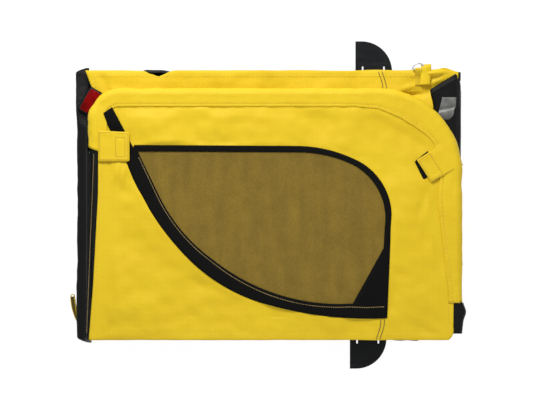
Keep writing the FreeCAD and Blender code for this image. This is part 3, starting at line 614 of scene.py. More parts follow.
def drawn(start: Flat, *moves: Any, step: float = 5.0) -> np.ndarray:
    """Draws a line of straight runs and arcs.

    Args:
        start: the first point.
        moves: each a point that a straight run ends on, or a pair of points, the middle and the
            end of an arc.
        step: the greatest distance between the points of the result.

    Returns:
        The line's points, one a row.
    """
    points = [np.array(start, float)]
    for move in moves:
        here = points[-1]
        if np.ndim(move[0]) == 0:
            end = np.array(move, float)
            count = max(1, math.ceil(float(np.linalg.norm(end - here)) / step))
            points += [here + (end - here) * n / count for n in range(1, count + 1)]
            continue
        middle, end = (np.array(spot, float) for spot in move)
        rows = 2 * np.array([middle - here, end - here])
        centre = np.linalg.solve(rows, [middle @ middle - here @ here, end @ end - here @ here])
        turns = [math.atan2(*(spot - centre)[::-1]) for spot in (here, middle, end)]
        way = 1 if (turns[1] - turns[0]) % math.tau < (turns[2] - turns[0]) % math.tau else -1
        sweep = (way * (turns[2] - turns[0])) % math.tau
        radius = float(np.linalg.norm(here - centre))
        count = max(3, math.ceil(sweep * radius / step))
        for n in range(1, count + 1):
            turn = turns[0] + way * sweep * n / count
            points.append(centre + radius * np.array([math.cos(turn), math.sin(turn)]))
    return np.array(points)


def lengths(line: np.ndarray) -> np.ndarray:
    """The distance along a line of each of its points."""
    return np.concatenate([[0.0], np.cumsum(np.linalg.norm(np.diff(line, axis=0), axis=1))])


def spaced(line: np.ndarray, step: float) -> np.ndarray:
    """Moves a line's points to even distances.

    Args:
        line: the line's points, one a row.
        step: the wanted distance.

    Returns:
        Points from end to end, about step apart.
    """
    along = lengths(line)
    count = max(2, round(along[-1] / step) + 1)
    marks = np.linspace(0, along[-1], count)
    return np.stack([np.interp(marks, along, line[:, axis]) for axis in range(line.shape[1])], axis=1)


def curved(points: np.ndarray, count: int = 8) -> np.ndarray:
    """Joins points by a smooth curve through all of them.

    Args:
        points: the points, one a row.
        count: how many steps the curve takes from point to point.

    Returns:
        The curve's points.
    """
    ends = np.concatenate([points[:1], points, points[-1:]])
    line = []
    for before, here, after, last in zip(ends, ends[1:], ends[2:], ends[3:]):
        for step in range(count):
            t = step / count
            line.append(
                here + 0.5 * t * (after - before)
                + t * t * (before - 2.5 * here + 2 * after - 0.5 * last)
                + t ** 3 * (1.5 * (here - after) + 0.5 * (last - before))
            )
    return np.array(line + [points[-1]])


def reach(outline: np.ndarray, centre: Flat, turns: np.ndarray) -> np.ndarray:
    """Measures an outline from a point inside it.

    Args:
        outline: the outline's points; its end is joined to its start.
        centre: the point inside.
        turns: the directions to measure in, in radians.

    Returns:
        The distance to the outline in each direction.
    """
    start = outline - np.array(centre)
    edge = np.roll(start, -1, axis=0) - start
    ray = np.stack([np.cos(turns), np.sin(turns)], axis=1)
    cross = ray[:, None, 0] * edge[None, :, 1] - ray[:, None, 1] * edge[None, :, 0]
    cross = np.where(np.abs(cross) < 1e-9, 1e-9, cross)
    far = (start[None, :, 0] * edge[None, :, 1] - start[None, :, 1] * edge[None, :, 0]) / cross
    share = (start[None, :, 0] * ray[:, None, 1] - start[None, :, 1] * ray[:, None, 0]) / cross
    good = (far > 0) & (share >= -1e-6) & (share <= 1 + 1e-6)
    return np.where(good, far, 0.0).max(axis=1)


def ripple(x: float, y: float, size: float, seed: float) -> float:
    """Smooth noise from -1 to 1, with swells about size apart."""
    return noise.noise(Vector((x / size, y / size, seed)))


def ease(low: float, high: float, value: float) -> float:
    """Goes smoothly from 0 at low to 1 at high."""
    share = min(1.0, max(0.0, (value - low) / (high - low)))
    return share * share * (3 - 2 * share)


def bump(value: float, middle: float, width: float) -> float:
    """A soft hump of height 1 about middle."""
    return math.exp(-((value - middle) / width) ** 2)


def blank(rows: int, columns: int) -> tuple[np.ndarray, np.ndarray]:
    """Empty tables for a sheet's points and for their places on the flat cloth."""
    return np.zeros((rows, columns, 3)), np.zeros((rows, columns, 2))


def cells(rows: Sequence[Any], columns: Sequence[Any]) -> Iterable[tuple[tuple[int, int], Any, Any]]:
    """Goes through a sheet row by row.

    Args:
        rows: what each row stands for.
        columns: what each column stands for.

    Returns:
        For each cell its place in the table, its row's entry and its column's entry.
    """
    for row, one in enumerate(rows):
        for column, two in enumerate(columns):
            yield (row, column), one, two


def spokes(edge: np.ndarray, centre: Flat) -> tuple[np.ndarray, np.ndarray]:
    """The direction of each point of an edge from a centre, in radians, and its distance."""
    out = edge - np.array(centre)
    return np.arctan2(out[:, 1], out[:, 0]), np.linalg.norm(out, axis=1)


def fanned(centre: Flat, turns: np.ndarray, far: np.ndarray) -> tuple[np.ndarray, np.ndarray]:
    """The points that lie far from a centre in each direction, as two lists of coordinates."""
    return centre[0] + far * np.cos(turns), centre[1] + far * np.sin(turns)


def pick(piece: Piece) -> None:
    """Selects one piece alone and makes it active.

    Args:
        piece: the object.
    """
    bpy.ops.object.select_all(action="DESELECT")
    bpy.context.view_layer.objects.active = piece
    piece.select_set(True)


def settle(piece: Piece, angle: float | None = None) -> None:
    """Applies a piece's modifiers, turns a cloth's faces outwards and smooths it.

    Args:
        piece: the mesh object.
        angle: edges sharper than this many degrees stay sharp; None is for cloth and smooths all.
    """
    pick(piece)
    for modifier in list(piece.modifiers):
        bpy.ops.object.modifier_apply(modifier=modifier.name)
    bpy.ops.object.mode_set(mode="EDIT")
    bpy.ops.mesh.select_all(action="SELECT")
    bpy.ops.mesh.remove_doubles(threshold=1e-6)
    if angle is None:
        bpy.ops.mesh.normals_make_consistent(inside=False)
    bpy.ops.object.mode_set(mode="OBJECT")
    if angle is None:
        bpy.ops.object.shade_smooth()
    else:
        bpy.ops.object.shade_smooth_by_angle(angle=math.radians(angle))
    piece.select_set(False)


def raw_piece(name: str, points: np.ndarray, faces: list[tuple[int, ...]]) -> Piece:
    """Puts a mesh of the given points and faces in the scene.

    Args:
        name: the piece's name.
        points: its points in millimetres, one a row.
        faces: the point numbers of each face.

    Returns:
        The new object.
    """
    mesh = bpy.data.meshes.new(name)
    mesh.from_pydata((points * MM).tolist(), [], faces)
    piece = bpy.data.objects.new(name, mesh)
    bpy.context.scene.collection.objects.link(piece)
    return piece


def cloth(
    name: str, grid: np.ndarray, cut: np.ndarray, closed: bool = False, thick: float = 1.0
) -> Piece:
    """Makes a sheet of cloth from rows of points.

    Args:
        name: the piece's name.
        grid: rows by columns of points in millimetres.
        cut: rows by columns of places on the flat cloth, in millimetres, for the weave.
        closed: whether each row joins its own start.
        thick: the cloth's thickness in millimetres; 0 leaves a single layer.

    Returns:
        The new object.
    """
    rows, columns = grid.shape[:2]
    last = columns if closed else columns - 1
    faces = []
    for row in range(rows - 1):
        low, high = row * columns, (row + 1) * columns
        for place in range(last):
            after = (place + 1) % columns
            faces.append((low + place, low + after, high + after, high + place))
    piece = raw_piece(name, grid.reshape(-1, 3), faces)
    corners = np.zeros(len(piece.data.loops), int)
    piece.data.loops.foreach_get("vertex_index", corners)
    layer = piece.data.uv_layers.new(name="cut")
    layer.data.foreach_set("uv", (cut.reshape(-1, 2)[corners] * MM).ravel())
    if thick > 0:
        wall = piece.modifiers.new("wall", "SOLIDIFY")
        wall.thickness = thick * MM
        wall.offset = 0.0
    settle(piece)
    return piece


def folded_cloth(
    name: str,
    section: Sequence[Flat],
    marks: np.ndarray,
    spot: Callable[[float, float, float, float], Spot],
    thick: float = 1.0,
    step: float = 2.5,
) -> tuple[Piece, float]:
    """Draws a folded cloth out along a line.

    Args:
        name: the piece's name.
        section: the points of its fold, which are joined by a smooth curve.
        marks: the places along the line.
        spot: gives a point from the section's two sizes, the mark and the length in the fold.
        thick: the cloth's thickness.
        step: the distance between the points of the fold.

    Returns:
        The piece and the length of its fold.
    """
    fold = spaced(curved(np.array(section, float)), step)
    depth = lengths(fold)
    grid, cut = blank(len(fold), len(marks))
    for cell, (a, b), mark in cells(fold, marks):
        grid[cell] = spot(a, b, mark, depth[cell[0]])
        cut[cell] = (mark, depth[cell[0]])
    return cloth(name, grid, cut, thick=thick), float(depth[-1])


def stitch_rows(
    name: str, runs: Iterable[np.ndarray], pitch: float = 8.0, long: float = 5.6, wide: float = 1.4
) -> Piece:
    """Sews rows of stitches, small pointed bars that lie on the cloth.

    Args:
        name: the piece's name.
        runs: the rows, each a line of points on the cloth in millimetres.
        pitch: the distance from stitch to stitch.
        long: the length of a stitch.
        wide: its width.

    Returns:
        One object with all the stitches.
    """
    points: list[np.ndarray] = []
    faces: list[tuple[int, ...]] = []
    up = np.array([0.0, 0.0, 1.0])
    for run in runs:
        line = spaced(run, pitch)
        for here, after in zip(line[:-1], line[1:]):
            way = after - here
            size = float(np.linalg.norm(way))
            if size < 1e-6:
                continue
            way = way / size
            across = np.cross(up, way)
            across = across / max(1e-9, float(np.linalg.norm(across)))
            above = np.cross(way, across)
            middle = (here + after) / 2
            first = len(points)
            points.append(middle - way * long / 2 - above * 0.3)
            for end in (-0.32, 0.32):
                ring = (across * wide / 2, above * wide * 0.4, -across * wide / 2, -above * wide * 0.4)
                points += [middle + way * long * end + side for side in ring]
            points.append(middle + way * long / 2 - above * 0.3)
            for turn in range(4):
                near, beside = first + 1 + turn, first + 1 + (turn + 1) % 4
                faces.append((first, beside, near))
                faces.append((near, beside, beside + 4, near + 4))
                faces.append((near + 4, beside + 4, first + 9))
    piece = raw_piece(name, np.array(points), faces)
    settle(piece)
    return piece


def dress(piece: Piece, finish: Finish, slot: str, body: str | None, *nodes: str) -> Piece:
    """Gives a piece its finish and body, and hides the solids it stands for.

    Args:
        piece: the object.
        finish: its finish.
        slot: a material slot's name, which is not used.
        body: the body it rides on, or None for a piece that lies between two bodies and rides on neither.
        nodes: the solids that it replaces.

    Returns:
        The same object.
    """
    piece.data.materials.clear()
    piece.data.materials.append(material(finish))
    if body is not None:
        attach(piece, body)
    if nodes:
        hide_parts(*nodes)
    LOG.info("%s: %s, rides on %s", piece.name, finish.name, body)
    return piece


# The two covered sides


@dataclass(frozen=True)
class Hoop:
    """One side's hoop, and the flat drawing (x along, v up from the pivot, h outwards) of its cover."""

    side: Side
    rear_x: float = -338.0
    front_x: float = 365.0
    top: float = 455.0
    rear_radius: float = 48.0
    front_radius: float = 152.0
    rear_end: float = 347.0
    front_end: float = 49.0
    pivot_y: float = 240.0
    right_z: float = 82.0
    left_z: float = 48.0
    window_low: Flat = (-272.0, 19.0)
    window_high: Flat = (239.0, 357.0)

    @property
    def body(self) -> str:
        """The body that this side's pieces ride on."""
        return f"{self.side.value}_side"

    def place(self, drawing: np.ndarray) -> np.ndarray:
        """Puts points of the drawing where the side lies.

        Args:
            drawing: points (x, v, h), the last axis of any array.

        Returns:
            The points in the frame of the solids.
        """
        x, v, h = drawing[..., 0], drawing[..., 1], drawing[..., 2]
        if self.side is Side.RIGHT:
            return np.stack([x, v - self.pivot_y, h + self.right_z], axis=-1)
        return np.stack([x, self.pivot_y - v, h + self.left_z], axis=-1)

    def inset(self, x: float, v: float) -> float:
        """How far a point of the drawing lies inside the hoop's line.

        Args:
            x: along the side.
            v: up the side.

        Returns:
            The distance, which is negative outside the hoop.
        """
        front, rear = self.front_x - self.front_radius, self.rear_x + self.rear_radius
        if x > front and v > self.top - self.front_radius:
            return self.front_radius - math.hypot(x - front, v - self.top + self.front_radius)
        if x < rear and v > self.top - self.rear_radius:
            return self.rear_radius - math.hypot(x - rear, v - self.top + self.rear_radius)
        return min(self.top - v, x - self.rear_x, self.front_x - x)

    def line(self, inset: float, step: float = 5.0) -> np.ndarray:
        """A line beside the hoop, from the sleeve's rear end round to its front end.

        Args:
            inset: how far inside the hoop's middle the line runs.
            step: the greatest distance between its points.

        Returns:
            Its points (x, v).
        """
        rear, front, top = self.rear_x + inset, self.front_x - inset, self.top - inset
        small, large = self.rear_radius - inset, self.front_radius - inset
        slope = math.sqrt(0.5)
        return drawn(
            (rear, self.rear_end),
            (rear, top - small),
            ((rear + small * (1 - slope), top - small * (1 - slope)), (rear + small, top)),
            (front - large, top),
            ((front - large * (1 - slope), top - large * (1 - slope)), (front, top - large)),
            (front, self.front_end),
            step=step,
        )

    def window(self, across: float, up: float, inset: float = 0.0) -> Flat:
        """A point of the window, by its shares of the window's length and height.

        Args:
            across: the share of the length, from the rear.
            up: the share of the height, from below.
            inset: how far the window is drawn in all round first.

        Returns:
            The point (x, v).
        """
        low, high = self.window_low, self.window_high
        x = low[0] + inset + across * (high[0] - low[0] - 2 * inset)
        v = low[1] + inset + up * (high[1] - low[1] - 2 * inset)
        return (x, v)


@dataclass
class SideCover:
    """The cloth of one side: panel, hoop sleeve, leg sleeve, window, tabs and their sewing."""

    hoop: Hoop
    lift: float = 11.2
    seam: float = 13.0
    hem: float = 23.5
    sleeve_radius: float = 13.0
    sleeve_start: float = 9.0
    under_start: float = 13.4
    leg_radius: float = 11.6
    tail_wide: float = 22.0
    tail_lift: float = 12.3
    tab_lift: float = 15.2
    pile_lift: float = 13.4
    rear_tab: Flat = (-332.0, 355.0)
    front_tab: Flat = (329.053, 321.381)
    front_turn: float = 33.0
    strap_lift: float = 14.2
    strap_half: float = 26.0
    label_spot: Flat = (279.5, 37.0)
    label_turn: Flat = (0.88, 0.47)
    centre: Flat = (30.0, 215.0)
    step: float = 6.0
    panel_rows: int = 46
    trim_rows: int = 9
    mesh_rows: int = 56
    still_spots: tuple[Spot, ...] = ((-302.0, 357.0, 42.0), (303.0, 318.0, 36.0))
    tab_folds: tuple[Flat, ...] = ((-314.0, 3.0), (-297.0, 4.2), (-283.0, 3.0))
    fan_corners: tuple[Spot, ...] = ((-346.0, -22.0, 150.0), (350.0, -18.0, 120.0))

    def named(self, name: str) -> str:
        """A piece's name with its side."""
        return f"{self.hoop.side.value}_{name}"

    def hem_line(self) -> np.ndarray:
        """The panel's lower hem, from its front corner to its rear corner, in the drawing."""
        low = -self.hem
        if self.hoop.side is Side.RIGHT:
            line = drawn((360.5, 0.0), ((358.6, -15.0), (351.0, low)), (-350.5, low))
        else:
            line = drawn((368.0, 0.0), ((372.0, -12.0), (372.0, -21.0)), (340.0, low - 1), (-359.0, low))
        for point in line:
            wave = 0.9 * ripple(point[0], 0.0, 46.0, 3.0)
            if self.hoop.side is Side.LEFT:
                wave += 11.0 * bump(point[0], -216.0, 13.0) + 4.0 * bump(point[0], -233.0, 7.0)
                wave += 2.5 * bump(point[0], -200.0, 8.0) - 4.5 * bump(point[0], 347.0, 15.0)
                wave += 1.6 * ripple(point[0], 0.0, 90.0, 4.0)
            if point[1] < 2 + low:
                point[1] += wave
        return line

    def edge(self) -> np.ndarray:
        """The panel's cut edge: under the sleeve's flange, past the leg ends and along the hem."""
        inside = self.hoop.line(self.seam, self.step)
        inside = inside[(inside[:, 1] > self.hoop.front_end + 6) | (inside[:, 0] < 0)]
        hem = self.hem_line()
        front = drawn(tuple(inside[-1]), (361.0, self.hoop.front_end), tuple(hem[0]))
        rear_stops = [(-342.0, 85.0), (-332.5, 260.0), (-332.0, self.hoop.rear_end), tuple(inside[0])]
        if self.hoop.side is Side.LEFT:
            rear_stops.insert(0, (-344.0, 16.0))
        rear = drawn(tuple(hem[-1]), *rear_stops)
        return np.concatenate([inside[:-1], front[:-1], hem[:-1], rear[:-1]])

    def flange(self, x: float, v: float) -> float:
        """How far inside the hoop the sleeve is sewn: its seam cuts straight across the front curve.

        Args:
            x: along the side.
            v: up the side.

        Returns:
            The distance from the hoop's line to the seam.
        """
        middle = (self.hoop.front_x - self.hoop.front_radius, self.hoop.top - self.hoop.front_radius)
        if x <= middle[0]:
            return 23.0 + 4.0 * ease(165.0, middle[0], x)
        if v < middle[1]:
            return float(np.interp(v, (74.0, 246.0, middle[1]), (14.0, 35.0, 31.0)))
        turn = math.degrees(math.atan2(x - middle[0], v - middle[1]))
        return float(np.interp(turn, (0, 6, 16, 30, 45, 60, 90), (27, 31.5, 36, 39, 36, 29, 31)))

    def trim_edge(self) -> np.ndarray:
        """The outside of the window's trim, without its tail."""
        at = self.hoop.window
        return drawn(
            at(0.02, 1.0), (60.0, 355.0), ((122.0, 346.0), (165.0, 330.5)),
            ((218.0, 288.0), at(1.0, 0.54)), at(0.985, 0.0), ((101.0, 24.5), (-20.0, 51.0)),
            ((-92.0, 84.5), (-148.0, 127.0)), ((-212.0, 201.0), at(-0.01, 0.9)), at(0.02, 1.0),
        )[:-1]

    def mesh_edges(self) -> tuple[np.ndarray, np.ndarray]:
        """The mesh's upper and lower edges, both from its rear corner to the front."""
        at = self.hoop.window
        start = (-256.0, 345.0)
        upper = drawn(
            start, (60.0, 344.0), ((118.0, 336.5), (160.0, 322.0)), ((204.0, 287.0), (228.0, 198.0))
        )
        lower = drawn(
            start, (-216.0, 262.0), ((-170.5, 190.0), at(0.32, 0.335)),
            (at(0.53, 0.155), (165.0, 47.0)), (228.0, 160.0),
        )
        return upper, lower

    def left_folds(self, x: float, v: float) -> float:
        """The bunched cloth at the two ends of the lower side's hem.

        Args:
            x: along the side.
            v: up the side.

        Returns:
            How far the cloth stands up there.
        """
        line = x + 320.0 - 0.5 * (v - 5.0)
        rear = (2.2 * bump(line, -15.0, 6.0) - 4.0 * bump(line, 0.0, 6.5)) * (1 - ease(25, 60, v))
        far = math.hypot(x - 372.0, v + 21.0)
        turn = math.atan2(v + 23.0, 373.0 - x)
        fan = 4.2 * math.sin(turn * 17.0) * ease(5, 25, far) * (1 - ease(60, 110, far))
        clear = ease(0.0, 7.0, 0.6 * (373.0 - x) - 20.5 - v)
        hump = 5.0 * bump(x, 330.0, 18.0) * bump(v, -22.0, 13.0)
        down = v - 20.0 - 0.35 * (290.0 - x)
        hollow = (3.0 * bump(down, -15.0, 7.0) - 13.0 * bump(down, 0.0, 10.0)) * bump(x, 290.0, 42.0)
        band = 2.2 * ripple(x, v * 0.6, 34.0, 8.0) * (1 - ease(5, 60, v))
        return rear + (fan + hump) * clear + (band + hollow) * ease(-338, -318, x)

    def lie(self, x: float, v: float) -> float:
        """The panel's height h at a point of the drawing: its swells, folds and hems.

        Args:
            x: along the side.
            v: up the side.

        Returns:
            The height of the cloth's middle.
        """
        inset = self.hoop.inset(x, v)
        sewn = self.flange(x, v)
        swell = 4.4 * ripple(x, v, 150.0, 1.0) + 3.4 * ripple(x, v, 66.0, 2.0)
        swell += 1.3 * ripple(x + 0.5 * v, v - 0.3 * x, 27.0, 5.0)
        if self.hoop.side is Side.RIGHT:
            swell *= 1.6
        for still_x, still_v, size in self.still_spots:
            swell *= 1 - 0.9 * bump(math.hypot(x - still_x, v - still_v), 0.0, size)
        pucker = 1.6 * ripple(x, v * 0.25, 15.0, 7.0) + 3.2 * ripple(x, v * 0.8, 38.0, 15.0)
        pucker *= math.exp(-max(0.0, inset - sewn) / 20)
        leg = 3.0 * ripple(x + 0.2 * v, v * 0.15, 20.0, 9.0) * ease(255, 310, x) * ease(-10, 50, v)
        leg *= 1 - ease(240, 330, v)
        leg -= 3.0 * bump(x - 0.3 * v, 228.0, 9.0) * bump(v, 245.0, 32.0)
        tab = 0.0
        for fold, size in self.tab_folds:
            tab += size * bump(x - 0.25 * (v - 300.0), fold, 4.5) * bump(v, 296.0, 22.0)
        corner = 0.0
        for x0, v0, width in self.fan_corners:
            far = math.hypot(x - x0, v - v0)
            turn = math.atan2(v - v0, x - x0)
            corner += 0.8 * math.sin(turn * 9 + x0) * bump(far, 0.45 * width, 0.35 * width)
        free = 1 - (1 - ease(sewn + 1.0, sewn + 26.0, inset)) * ease(25.0, 75.0, v)
        height = (swell + leg + tab + corner) * free + pucker * ease(sewn, sewn + 5.0, inset)
        if self.hoop.side is Side.LEFT:
            height += self.left_folds(x, v)
        height *= 1 - 0.85 * bump(x, -342.0, 24.0)
        height *= 1 - 0.8 * bump(x, 358.0, 20.0) * (1 - ease(50, 80, v))
        if v < 20 and height < -2.0:
            height = -2.0 - 0.3 * (-2.0 - height)
        groove = -0.5 * bump(inset, sewn + 2.0, 4.0) * ease(60.0, 90.0, v)
        turned = 0.4 * (1 - ease(11.0, 13.0, v + self.hem))
        roll = -1.1 * (1 - ease(0.0, 4.0, v + self.hem))
        if self.hoop.side is Side.RIGHT:
            ends = ease(-330, -280, x) * (1 - ease(310, 345, x))
            roll -= 2.2 * (1 - ease(0.0, 95.0, v + self.hem)) * ends
        return self.lift + height + groove + turned + roll

    def build_panel(self) -> None:
        """The coated cloth between the window's trim and the edge."""
        turns, far = spokes(self.edge(), self.centre)
        near = reach(self.trim_edge(), self.centre, turns) - 6.0
        grid = np.zeros((self.panel_rows, len(turns), 3))
        for row, share in enumerate(np.linspace(0.0, 1.0, self.panel_rows)):
            x, v = fanned(self.centre, turns, near + (far - near) * share)
            calm = ease(0.0, 0.16, share)
            heights = [self.lift + (self.lie(a, b) - self.lift) * calm for a, b in zip(x, v)]
            grid[row] = np.stack([x, v, heights], axis=1)
        piece = cloth(self.named("panel_cloth"), self.hoop.place(grid), grid[..., :2], closed=True)
        dress(piece, YELLOW, "yellow_cloth", self.hoop.body, self.named("side_panel"))
        self.sew_hems()
        self.sew_felled()

    def on_panel(self, line: np.ndarray, above: float = 0.75) -> np.ndarray:
        """A line of the drawing laid on the panel's face.

        Args:
            line: its points (x, v).
            above: how far above the cloth's middle it lies.

        Returns:
            Its points in the frame of the solids.
        """
        heights = [self.lie(x, v) + above for x, v in line]
        return self.hoop.place(np.column_stack([line, heights]))

    def sew_hems(self) -> Piece:
        """The ochre stitches of the hems."""
        low = np.array([(x, 12.0 - self.hem) for x in np.linspace(338.0, -338.0, 120)])
        rear = np.array([(-341.0, -12.0), (-323.5, 340.0)])
        front = np.array([(351.0, 44.0), (351.0, 0.0)])
        runs = [self.on_panel(spaced(run, 4.0), 0.6) for run in (low, rear, front)]
        piece = stitch_rows(self.named("panel_stitches"), runs, wide=0.8)
        return dress(piece, YELLOW_THREAD, "yellow_cloth", self.hoop.body)

    def sew_felled(self) -> Piece:
        """The dark double row of the felled seam from the window to the hem."""
        middle = 222.5 if self.hoop.side is Side.RIGHT else 227.5
        rows = (middle - 3.5, middle + 3.5)
        bends = [((x0, 16.0), (x0 - 1.0, 2.0), (x0 - 9.0, -22.0)) for x0 in rows]
        runs = [self.on_panel(spaced(curved(np.array(bend)), 3.0), 0.9) for bend in bends]
        piece = stitch_rows(self.named("felled_stitches"), runs, pitch=4.4, long=4.4, wide=1.6)
        return dress(piece, DARK_THREAD, "yellow_cloth", self.hoop.body)

    def build_sleeve(self) -> None:
        """The sleeve that is folded round the hoop and sewn to the panel by its flange."""
        path = spaced(self.hoop.line(0.0, 2.0), 5.0)
        way = np.gradient(path, axis=0)
        way /= np.linalg.norm(way, axis=1)[:, None]
        inward = np.stack([way[:, 1], -way[:, 0]], axis=1)
        reaches = np.array([self.flange(*spot) for spot in path])
        turns = [math.radians(turn) for turn in range(78, 331, 12)]
        girth = self.sleeve_radius
        tube = [(girth * math.cos(turn), girth * math.sin(turn)) for turn in turns]
        along = lengths(path)
        slim = np.zeros(len(path))
        if self.hoop.side is Side.LEFT:
            slim = np.array([0.17 * ease(330.0, 352.0, x) for x in path[:, 0]])
        over = [(1.0, 11.9), (0.92, 12.7), (0.76, 12.9), (0.68, 12.3), (0.6, 12.9)]
        over += [(0.3, 12.9), (0.0, 12.8)]
        under = [(0.0, 1.0), (0.1, 9.0), (0.5, 9.6), (1.0, 9.7)]
        grid, cut = blank(len(over) + len(tube) + len(under), len(path))
        for column, spot in enumerate(path):
            wide = reaches[column] - self.sleeve_start
            below = max(15.0, reaches[column]) - self.under_start
            section = [(self.sleeve_start + share * wide, h, 0.15) for share, h in over]
            section += [(n, h, 1.0) for n, h in tube]
            section += [(self.under_start + share * below, h, 0.0) for share, h in under]
            around = lengths(np.array(section)[:, :2])
            for row, (n, h, loose) in enumerate(section):
                wave = 1.5 * ripple(along[column], around[row] * 0.3, 26.0, 11.0)
                wave += 0.6 * ripple(along[column], around[row], 10.0, 12.0)
                crush = 0.9 * (1 - loose) * ripple(along[column], around[row] * 0.6, 17.0, 13.0)
                wave *= 1 + 1.6 * bump(along[column], 85.0, 40.0)
                size = (1 + loose * wave / girth) * (1 - slim[column] * loose)
                grid[row, column, :2] = spot + inward[column] * n * size
                grid[row, column, 1] -= 0.4 * n * (1 - ease(0, 30, along[column]))
                grid[row, column, 2] = min(h * size, 13.6)
                if row < len(over):
                    grid[row, column, 2] += crush
                cut[row, column] = (along[column], around[row])
        piece = cloth(self.named("sleeve_cloth"), self.hoop.place(grid), cut, thick=0.9)
        dress(piece, YELLOW, "yellow_cloth", self.hoop.body, self.named("hoop_sleeve"))
        runs = []
        for back in (2.0, 7.5):
            line = path + inward * (reaches - back)[:, None]
            heights = np.full(len(line), 13.35 if back > 5 else 12.95)
            runs.append(self.hoop.place(np.column_stack([line, heights])))
        sewn = stitch_rows(self.named("sleeve_stitches"), runs, wide=1.0)
        dress(sewn, YELLOW_THREAD, "yellow_cloth", self.hoop.body)

    def build_leg_sleeve(self) -> None:
        """The black sleeve round the rear leg, flat where the panel lies on it."""
        marks = np.linspace(47.6, 356.0, 63)
        turns = np.linspace(0, math.tau, 33)
        grid, cut = blank(len(turns), len(marks))
        for cell, turn, v in cells(turns, marks):
            radius = self.leg_radius + 0.8 * ripple(v, math.cos(turn) * 14, 22.0, 21.0 + math.sin(turn))
            radius = min(12.6, max(10.9, radius))
            h = min(10.35, radius * math.sin(turn))
            grid[cell] = (self.hoop.rear_x + radius * math.cos(turn), v, h)
            cut[cell] = (v, turn * self.leg_radius)
        piece = cloth(self.named("leg_cloth"), self.hoop.place(grid), cut, thick=0.6)
        dress(piece, BLACK, "black_cloth", self.hoop.body, self.named("rear_leg_sleeve"))

    def build_trim(self) -> None:
        """The black binding round the window, wide along the zip's curve and in the gusset."""
        upper, lower = self.mesh_edges()
        inside = np.concatenate([upper, lower[::-1][1:-1]])
        outside = spaced(np.concatenate([self.trim_edge(), self.trim_edge()[:1]]), 4.0)[:-1]
        turns, far = spokes(outside, self.centre)
        near = np.minimum(reach(inside, self.centre, turns) - 1.0, far - 5.0)
        along = lengths(outside)
        grid, cut = blank(self.trim_rows, len(outside))
        for row, share in enumerate(np.linspace(0.0, 1.0, self.trim_rows)):
            radius = near + (far - near) * share
            x, v = fanned(self.centre, turns, radius)
            edge = min(share, 1 - share)
            dome = 0.9 * ease(0.0, 0.18, edge)
            wave = [0.5 * ripple(a, b, 30.0, 31.0) * ease(0.0, 0.3, edge) for a, b in zip(x, v)]
            grid[row] = np.stack([x, v, self.lift + 1.2 + dome + np.array(wave)], axis=1)
            cut[row] = np.stack([along, far - radius], axis=1)
        piece = cloth(self.named("window_binding"), self.hoop.place(grid), cut, closed=True)
        dress(piece, BINDING, "black_trim", self.hoop.body, self.named("window_trim"))
        tail = self.build_tail()
        zip_line = []
        for x, v in lower[2:]:
            if x > 160 or v > 335:
                continue
            turn = np.array([math.atan2(v - self.centre[1], x - self.centre[0])])
            out = reach(inside, self.centre, turn) + 4.0 + 2.5 * ease(-150, 100, x)
            zip_line.append(np.ravel(fanned(self.centre, turn, out)))
        zip_line += [(190.0, 40.0), (226.0, 41.5)]
        line = spaced(np.array(zip_line), 3.0)
        heights = np.full(len(line), self.lift + 2.6)
        sewn = dress(
            stitch_rows(
                self.named("window_stitches"), [self.hoop.place(np.column_stack([line, heights]))],
                pitch=4.6, long=4.4, wide=1.5,
            ),
            TAN_THREAD, "black_trim", self.hoop.body,
        )

    def build_tail(self) -> Piece:
        """The end of the zip's flap, which runs on under the rear tab and up to the sleeve."""
        left = curved(np.array([(-322.0, 419.0), (-310.0, 388.0), (-293.0, 355.0), (-275.0, 318.0)]))
        left = spaced(left, 5.0)
        right = curved(np.array([(-305.0, 431.0), (-281.0, 386.0), (-271.0, 366.0), (-259.0, 344.0)]))
        right = spaced(right, lengths(right)[-1] / (len(left) - 1))
        grid, cut = blank(7, len(left))
        for cell, share, column in cells(np.linspace(0.0, 1.0, 7), range(len(left))):
            spot = left[column] * (1 - share) + right[column] * share
            dome = 0.5 * ease(0.0, 0.3, min(share, 1 - share)) * ease(390, 400, spot[1])
            grid[cell] = (*spot, self.tail_lift + 1.9 * ease(386, 398, spot[1]) + dome)
            cut[cell] = (5.0 * column, self.tail_wide * share)
        piece = cloth(self.named("zip_flap_tail"), self.hoop.place(grid), cut, thick=0.9)
        dress(piece, BINDING, "black_trim", self.hoop.body)
        return piece

    def build_mesh(self) -> None:
        """The window's open mesh, a little slack between its edges."""
        upper, lower = self.mesh_edges()
        columns = np.linspace(-254.0, 228.0, 98)
        high = np.interp(columns, upper[:, 0], upper[:, 1]) + 3.0
        order = np.argsort(lower[:, 0])
        low = np.interp(columns, lower[order, 0], lower[order, 1]) - 3.0
        grid = np.zeros((self.mesh_rows, len(columns), 3))
        for row, share in enumerate(np.linspace(0.0, 1.0, self.mesh_rows)):
            v = low + (high - low) * share
            for column, x in enumerate(columns):
                slack = math.sin(math.pi * share) * ease(0, 60, high[column] - low[column])
                wave = -1.6 + 2.4 * ripple(x, v[column], 85.0, 41.0)
                wave += 1.7 * ripple(x, v[column] * 0.2, 24.0, 42.0)
                grid[row, column] = (x, v[column], self.lift + 0.35 + slack * wave)
        piece = cloth(self.named("window_knit"), self.hoop.place(grid), grid[..., :2], thick=0.0)
        dress(piece, WINDOW, "window_mesh", self.hoop.body, self.named("window_mesh"))

